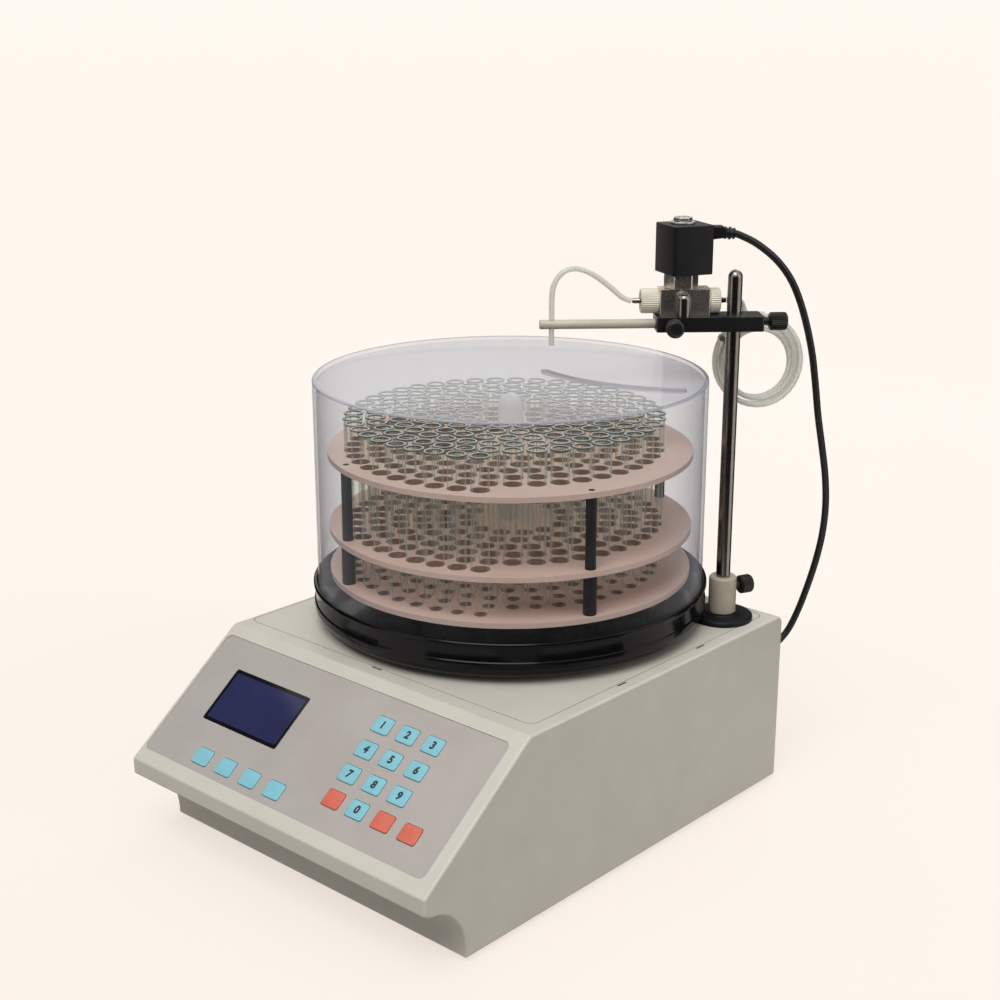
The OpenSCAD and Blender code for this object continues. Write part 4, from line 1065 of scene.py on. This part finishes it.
# %% Flange, socket and rod
flange_profile = rounded(
    [(8.1, 149.9), (14, 149.9), (14, TOP), (26.5, TOP), (26.5, 155.8), (25.2, 157), (23.5, 157), (20, 158),
     (16, 158), (15, 158.9), (8.1, 158.9)], [0, 0, 0, 0, 0.8, 0.8, 0.8, 0.8, 0.4, 0.5, 0.3], 4)
part("mast_flange", turned(flange_profile, head_point, 96), BLACK_PLASTIC, "case", "black_plastic",
     "mast_bearing", 28)
socket_profile = rounded(
    [(0, 122), (8, 122), (8, 159), (11.4, 159), (11.8, 159.4), (11.8, 189.6), (10.6, 190.8), (6.03, 190.8),
     (6.03, 163), (0, 163)], [0, 0.4, 0, 0.2, 0.2, 0.7, 0.6, 0.3, 0, 0], 3)
part("mast_socket_moulded", turned(socket_profile, head_point, 72), SOCKET_PLASTIC, "mast", "cream_plastic",
     "mast_socket", 28)
ROD_R, ROD_DOME = 6, 448.9
rod_profile = [(0, 163.1), (5.4, 163.1), (ROD_R, 163.8)]
rod_profile += arc((0, ROD_DOME), ROD_R, ROD_R, 0, pi / 2, 9)
part("mast_rod_ground", turned(rod_profile, head_point, 64), POLISHED_STEEL, "mast", "polished_steel",
     "mast_rod", 30)
print("rod top at", round((ROD_DOME + ROD_R) * MM, 4), "m")

# %% [markdown]
# ## Knurled knobs
# Three black knobs clamp the rod, the head and the arm. Each is a screw with a collar and a nylon knob
# with fine ribs. The screws are out of sight in their bores, so they share the knobs' finish. The ribs
# are real ridges in the turned mesh, because their teeth show on the outline.

# %% Knobs
def knob(name, node, body, outward, shaft, collar, r, length, count):
    """outward is a function from (x, y, z along the screw from its tip) to the frame."""
    parts = [turned(rounded([(0, 0), (2.5, 0), (2.5, shaft + 1), (0, shaft + 1)], [0, 0.4, 0, 0]), outward, 24),
             turned(rounded([(0, shaft + 0.2), (3.5, shaft + 0.2), (3.5, shaft + collar + 0.2),
                             (0, shaft + collar + 0.2)], [0, 0.5, 0.5, 0]), outward, 32)]
    base = shaft + collar
    profile = [(0, base), (r - 2, base), (r - 1.1, base + 0.4), (r, base + 1.4), (r, base + length - 1.8),
               (r - 0.7, base + length - 0.7), (r - 2, base + length), (r - 3, base + length - 0.5),
               (0, base + length - 0.5)]
    parts.append(turned(profile, outward, ridges=(count, 0.55, base + 1, base + length - 1.5)))
    part(name, joined(*parts), KNOB_PLASTIC, body, "knob_plastic", node, 32)


def mast_outward(x, y, z):
    """From the rod's side at the mast's foot, at 66 degrees to the case's front."""
    a = radians(66)
    out = 6.1 + z
    return case_point(MAST[0] + out * cos(a) + x * sin(a), MAST[1] + out * sin(a) - x * cos(a), 180 + y)


def clamp_outward(x, y, z):
    return head_point(-6.2 - z, x, SCREW_Z + y)


def arm_outward(x, y, z):
    return head_point(52 + x, 4.1 + z, ARM_Z + y)


knob("mast_knob_knurled", "mast_screw", "mast_knob", mast_outward, 6, 4, 8, 12, 30)
knob("clamp_knob_knurled", "clamp_screw", "clamp_knob", clamp_outward, 17, 6, 7.5, 15, 28)
knob("arm_knob_knurled", "arm_screw", "arm_knob", arm_outward, 10.1, 3, 7.5, 12, 28)
print("3 knobs")

# %% [markdown]
# ## The head
# A black anodised bar grips the rod at one end and the drip arm at the other. On it stands a small
# pinch valve: a nickel block with a hexagon collar, a black solenoid on top with a washer and a nut,
# and an ivory knurled nut and a steel barb on each side. In front stands a polished stop pin.

# %% Clamp bar with its bores
bores = [prism(circle(6.05), BAR_LOW - 6, BAR_TOP + 6, head_point),
         prism(circle(3.95, (0, ARM_Z)), 16, 76, along_x(head_point)),
         prism(circle(2.55, (0, SCREW_Z)), -24, 0, along_x(head_point)),
         prism(circle(2.55, (52, ARM_Z)), 1, 21, along_y(head_point))]
bar = part("clamp_bar_machined", prism(plate((-23, -14), (65, 14), 2), BAR_LOW, BAR_TOP, head_point),
           BLACK_ANODISED, "head", "black_anodised", "clamp_bar", cuts=bores, soft=[0.7])
PIN_R = 5.7
pin_profile = [(0, BAR_TOP - 1), (PIN_R, BAR_TOP - 1)]
pin_profile += arc((0, 432.4), PIN_R, 4.6, 0, pi / 2, 8)
part("stop_pin", turned(pin_profile, shifted(head_point, 42.8, 8), 48), POLISHED_STEEL, "head", "polished_steel",
     smooth=30)
print("bar:", len(bar.data.polygons), "faces")

# %% Valve block and hexagon
# The plunger moves on the stem's axis, and the flow runs from side to side below it
STEM_Y, PLUNGER_BORE = -8, 5.05
BLOCK_FROM, BLOCK_TO = 19.9, 61.5
about_stem = shifted(head_point, 43.3, STEM_Y)
plunger_bore = prism(circle(PLUNGER_BORE), 428, 460, about_stem)
flow_bore = prism(circle(1.8, (STEM_Y, FLOW_Z)), 0, 80, along_x(head_point))
part("valve_block", prism(plate((BLOCK_FROM, -18), (BLOCK_TO, 2), 1.2), BAR_TOP, BLOCK_TOP, head_point),
     NICKEL, "head", "nickel", "valve_body", cuts=[plunger_bore, flow_bore], soft=[0.8])
part("valve_hexagon", prism(circle(14.5, steps=6), BLOCK_TOP, HEXAGON_TOP, about_stem), NICKEL, "head",
     "nickel", cuts=[plunger_bore], soft=[1.1])
print("valve's block is", round(BLOCK_TO - BLOCK_FROM, 1), "mm long")

# %% Solenoid casing
TWIST = radians(18)  # the casing sits turned on its stem


def about_coil(x, y, z):
    return head_point(41.5 + x * cos(TWIST) - y * sin(TWIST), STEM_Y + x * sin(TWIST) + y * cos(TWIST), z)


casing_block = prism(centred((36, 36), (0, 0), 2.4), HEXAGON_TOP + 0.1, CASING_TOP, about_coil)
casing = part("solenoid_casing", casing_block, BLACK_PLASTIC, "head", "black_plastic", "solenoid_coil",
              cuts=[prism(circle(PLUNGER_BORE), 440, 480, about_stem)], soft=(1.2, 4))
boss_side = rounded([(26, 478), (7.6, 480.2), (7.6, 487.6), (11, 489.6), (26, 489.6)], [0, 2, 2, 2, 0], 5)
part("cable_boss", prism(boss_side, -14, -2, along_y(head_point)), BLACK_PLASTIC, "head", "black_plastic",
     soft=(1.4, 4))
print("casing:", len(casing.data.polygons), "faces")

# %% Strain relief, washer and nut
boot_from, boot_to = head_point(7.9, -9.1, 483.5), cable_path[-6]
boot_axis = (Vector(boot_to) - boot_from).normalized()
boot_side = boot_axis.cross(Vector((0, 0, 1))).normalized()
boot_up = boot_side.cross(boot_axis)


def along_boot(x, y, z):
    return boot_from + (boot_side * x + boot_up * y + boot_axis * z) * MM


boot_profile = [(3.05, -1), (5, -1), (5, 0.6), (4.1, 1), (4.1, 2.2), (5.2, 2.6), (5.2, 4.2), (4, 4.6), (4, 5.8),
                (4.6, 6.2), (4.6, 7.4), (3.6, 8), (3.05, 8)]
part("cable_boot", turned(boot_profile, along_boot, 32), CABLE_RUBBER, "head", "cable_rubber", smooth=30)
washer_profile = rounded(plate((3, CASING_TOP), (10.5, WASHER_TOP), 0), 0.4, 3)
part("solenoid_washer", turned(washer_profile, about_stem, 48), ZINC_STEEL, "head", "zinc_steel", smooth=30)
for name, outline, low, high, soft in (("solenoid_nut", circle(8, steps=6), WASHER_TOP, 496.9, 0.9),
                                       ("solenoid_stud", circle(4, steps=24), 496.5, 497.15, 0.3)):
    part(name, prism(outline, low, high, about_stem), ZINC_STEEL, "head", "zinc_steel", soft=[soft])
print("boot's profile has", len(boot_profile), "points")

# %% Knurled nuts, barbs and the arm
def out_along(x_from, sign=1, y=STEM_Y, z=FLOW_Z):
    def place(a, b, c):
        return head_point(x_from + sign * c, y + a, z + b)
    return place


def knurled_nut(length, outward):
    profile = [(2.6, 0), (9.3, 0), (10.3, 1), (10.3, length - 1), (9.3, length), (6.5, length), (6, length - 0.6),
               (2.6, length - 0.6)]
    return turned(profile, outward, ridges=(36, 0.5, 0.8, length - 0.8))


def barb(length, outward):
    profile = [(0.9, 0), (2.1, 0), (2.1, length - 6), (2.4, length - 6), (2.0, length - 3.2), (2.4, length - 3.2),
               (1.9, length), (0.9, length)]
    return turned(profile, outward, 32)


front_side, rear_side = out_along(BLOCK_TO), out_along(BLOCK_FROM, -1)
part("knurled_nuts_moulded", joined(knurled_nut(15, front_side), knurled_nut(9, rear_side)), IVORY_PLASTIC, "head",
     "ivory_plastic", "knurled_nuts", 32)
part("hose_barbs_turned", joined(barb(21.7, front_side), barb(14.2, rear_side)), POLISHED_STEEL, "head",
     "polished_steel", "hose_barbs", 30)
ARM_R, ARM = 3.9, 130
arm_profile = rounded([(0, 0), (ARM_R, 0), (ARM_R, ARM), (0, ARM)], [0, 0.6, 0.9, 0], 5)
part("drip_arm_rod", turned(arm_profile, out_along(30, 1, 0, ARM_Z), 48), CREAM_PLASTIC, "arm", "cream_plastic",
     "drip_arm", 40, cuts=[prism(circle(2.4, (150, 0), 24), ARM_Z - 11, ARM_Z + 11, head_point)])
print("arm is", ARM, "mm long")

# %% [markdown]
# ## Finishes of the CAD solids
# The other solids have their true shape already, so they stay and only get their finishes: the rack's
# discs, the top plate, the keypad film, the base with its feet and screws, what is set in the rear
# wall, and all that is inside.

# %% Materials of the carried-over solids
CARRIED = (
    (CREAM_PAINT, "top_plate"), (OVERLAY_FILM, "panel_overlay"), (ZINC_STEEL, "base_plate", "case_screws"),
    (RUBBER, "rubber_feet"), (CIRCUIT_BOARD, "control_board"), (LAMINATED, "power_transformer"),
    (BLACK_PLASTIC, "power_inlet", "power_switch", "drive_motors", "cable_gland"), (ALUMINIUM, "spindle_housing"),
    (POLISHED_STEEL, "spindle", "valve_plunger"), (CREAM_PLASTIC, "drive_gear", "drive_pinion"),
    (DISC_PLASTIC, "upper_disc", "middle_disc", "lower_disc"),
)
for material, *nodes in CARRIED:
    for node in nodes:
        mesh = frame["nodes"][node].data
        mesh.materials.clear()
        mesh.materials.append(material)
print(sum(len(nodes) for _, *nodes in CARRIED), "solids finished")

# %% [markdown]
# ## Floor, light and background
# The object stands on a plain pale floor. One sun with a wide disc gives soft shadows, the world fills
# them, and two small softboxes add streaks to what is polished. Rays from the camera, from gloss and
# through glass see a plain warm white, while the light on the object stays at a plain level.

# %% Floor
WARM_WHITE = "#FFF5EC"
SEEN_BY = ("Is Camera Ray", "Is Glossy Ray", "Is Transmission Ray")
floor_material = bpy.data.materials.new("seamless_paper")
tree = emptied(floor_material)
grain = add(tree, "TexNoise", {"Vector": add(tree, "TexCoord").outputs["Object"], "Scale": per_metre(400)})
paper = add(tree, "Mix", {0: grain.outputs[0], 6: linear("#827E7B"), 7: linear("#888480")}, data_type="RGBA")
paper_shader = add(tree, "BsdfPrincipled", {"Base Color": paper.outputs[2], "Roughness": 0.9})
glow = add(tree, "Emission", {"Color": linear(WARM_WHITE), "Strength": 0.72})
off = add(tree, "Emission", {"Color": (0, 0, 0, 1), "Strength": 0.0})
lit = add(tree, "MixShader", {0: any_ray(tree, *SEEN_BY), 1: off.outputs[0], 2: glow.outputs[0]})
total = add(tree, "AddShader", {0: paper_shader.outputs[0], 1: lit.outputs[0]})
add(tree, "OutputMaterial", {"Surface": total.outputs[0]})
corners = [(x * FLOOR_HALF, y * FLOOR_HALF, 0) for x, y in ((-1, -1), (1, -1), (1, 1), (-1, 1))]
floor = piece("floor", corners, [(0, 1, 2, 3)], floor_material)
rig.stage(floor)
print("floor is", 2 * FLOOR_HALF, "m wide")

# %% World and lamps
world = bpy.data.worlds.new("studio")
bpy.context.scene.world = world
tree = emptied(world)
up = add(tree, "SeparateXYZ", {0: add(tree, "TexCoord").outputs["Generated"]}).outputs["Z"]
dome_light = add(tree, "MapRange", {"Value": up, "From Min": -0.1, "From Max": 0.9, "To Min": 0.1,
                                    "To Max": 0.66})
fill = add(tree, "Background", {"Color": linear("#FFFFFF"), "Strength": dome_light.outputs[0]})
white = add(tree, "Background", {"Color": linear(WARM_WHITE), "Strength": 1.0})
both = add(tree, "MixShader", {0: any_ray(tree, *SEEN_BY), 1: fill.outputs[0], 2: white.outputs[0]})
add(tree, "OutputWorld", {"Surface": both.outputs[0]})


def aim(obj, place, target):
    obj.location = place
    obj.rotation_euler = (Vector(target) - Vector(place)).to_track_quat("-Z", "Y").to_euler()


sun = bpy.data.objects.new("key_light", bpy.data.lights.new("key_light", "SUN"))
sun.data.energy, sun.data.angle = 1.7, radians(40)
bpy.context.scene.collection.objects.link(sun)
aim(sun, (0.7, -1.6, 3.2), (0, 0, 0.2))
SOFTBOXES = (("right_softbox", (2.2, 0.2, 1.0), 1.0, 7.0), ("back_softbox", (-0.4, 1.9, 1.7), 0.9, 5.0))
for name, place, size, power in SOFTBOXES:
    lamp = bpy.data.objects.new(name, bpy.data.lights.new(name, "AREA"))
    lamp.data.size, lamp.data.energy = size, power
    bpy.context.scene.collection.objects.link(lamp)
    aim(lamp, place, (0, 0, 0.25))

# Dark flags stand low round the object. Only gloss sees them: they give steel and black plastic their
# dark parts, and the gaps between them the bright streaks.
flag_material = finish("black_flag_cloth", "#2A2A2D", "#222225", 2, (0.8, 0.9), 0.05)
FLAG_REACH, FLAG_TOP, STRIPS = 0.56, 0.62, 24
for number, (start, end) in enumerate(((-200, -122), (-90, 16), (50, 110))):
    foot = arc((0, 0), FLAG_REACH, FLAG_REACH, radians(start), radians(end), STRIPS + 1)
    points = [(x, y, z) for z in (0.001, FLAG_TOP) for x, y in foot]
    faces = [(k, k + 1, k + STRIPS + 2, k + STRIPS + 1) for k in range(STRIPS)]
    flag = piece(f"flag_{number}", points, faces, flag_material)
    flag.visible_camera = flag.visible_diffuse = flag.visible_shadow = flag.visible_transmission = False
    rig.stage(flag)

# Rays may pass many clear walls: the cover, then tube after tube
bpy.context.scene.cycles.transparent_max_bounces = 96
bpy.context.scene.view_settings.view_transform = "Standard"
print("lamps:", [o.name for o in bpy.data.objects if o.type == "LIGHT"])

# %% Sizes, and the end
visual_box = [[float(x) for x in corner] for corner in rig.bounds()]
with open("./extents.json", "w") as out:
    json.dump({"cad": cad_box, "visual": visual_box}, out)
print("visual box in metres:", visual_box)
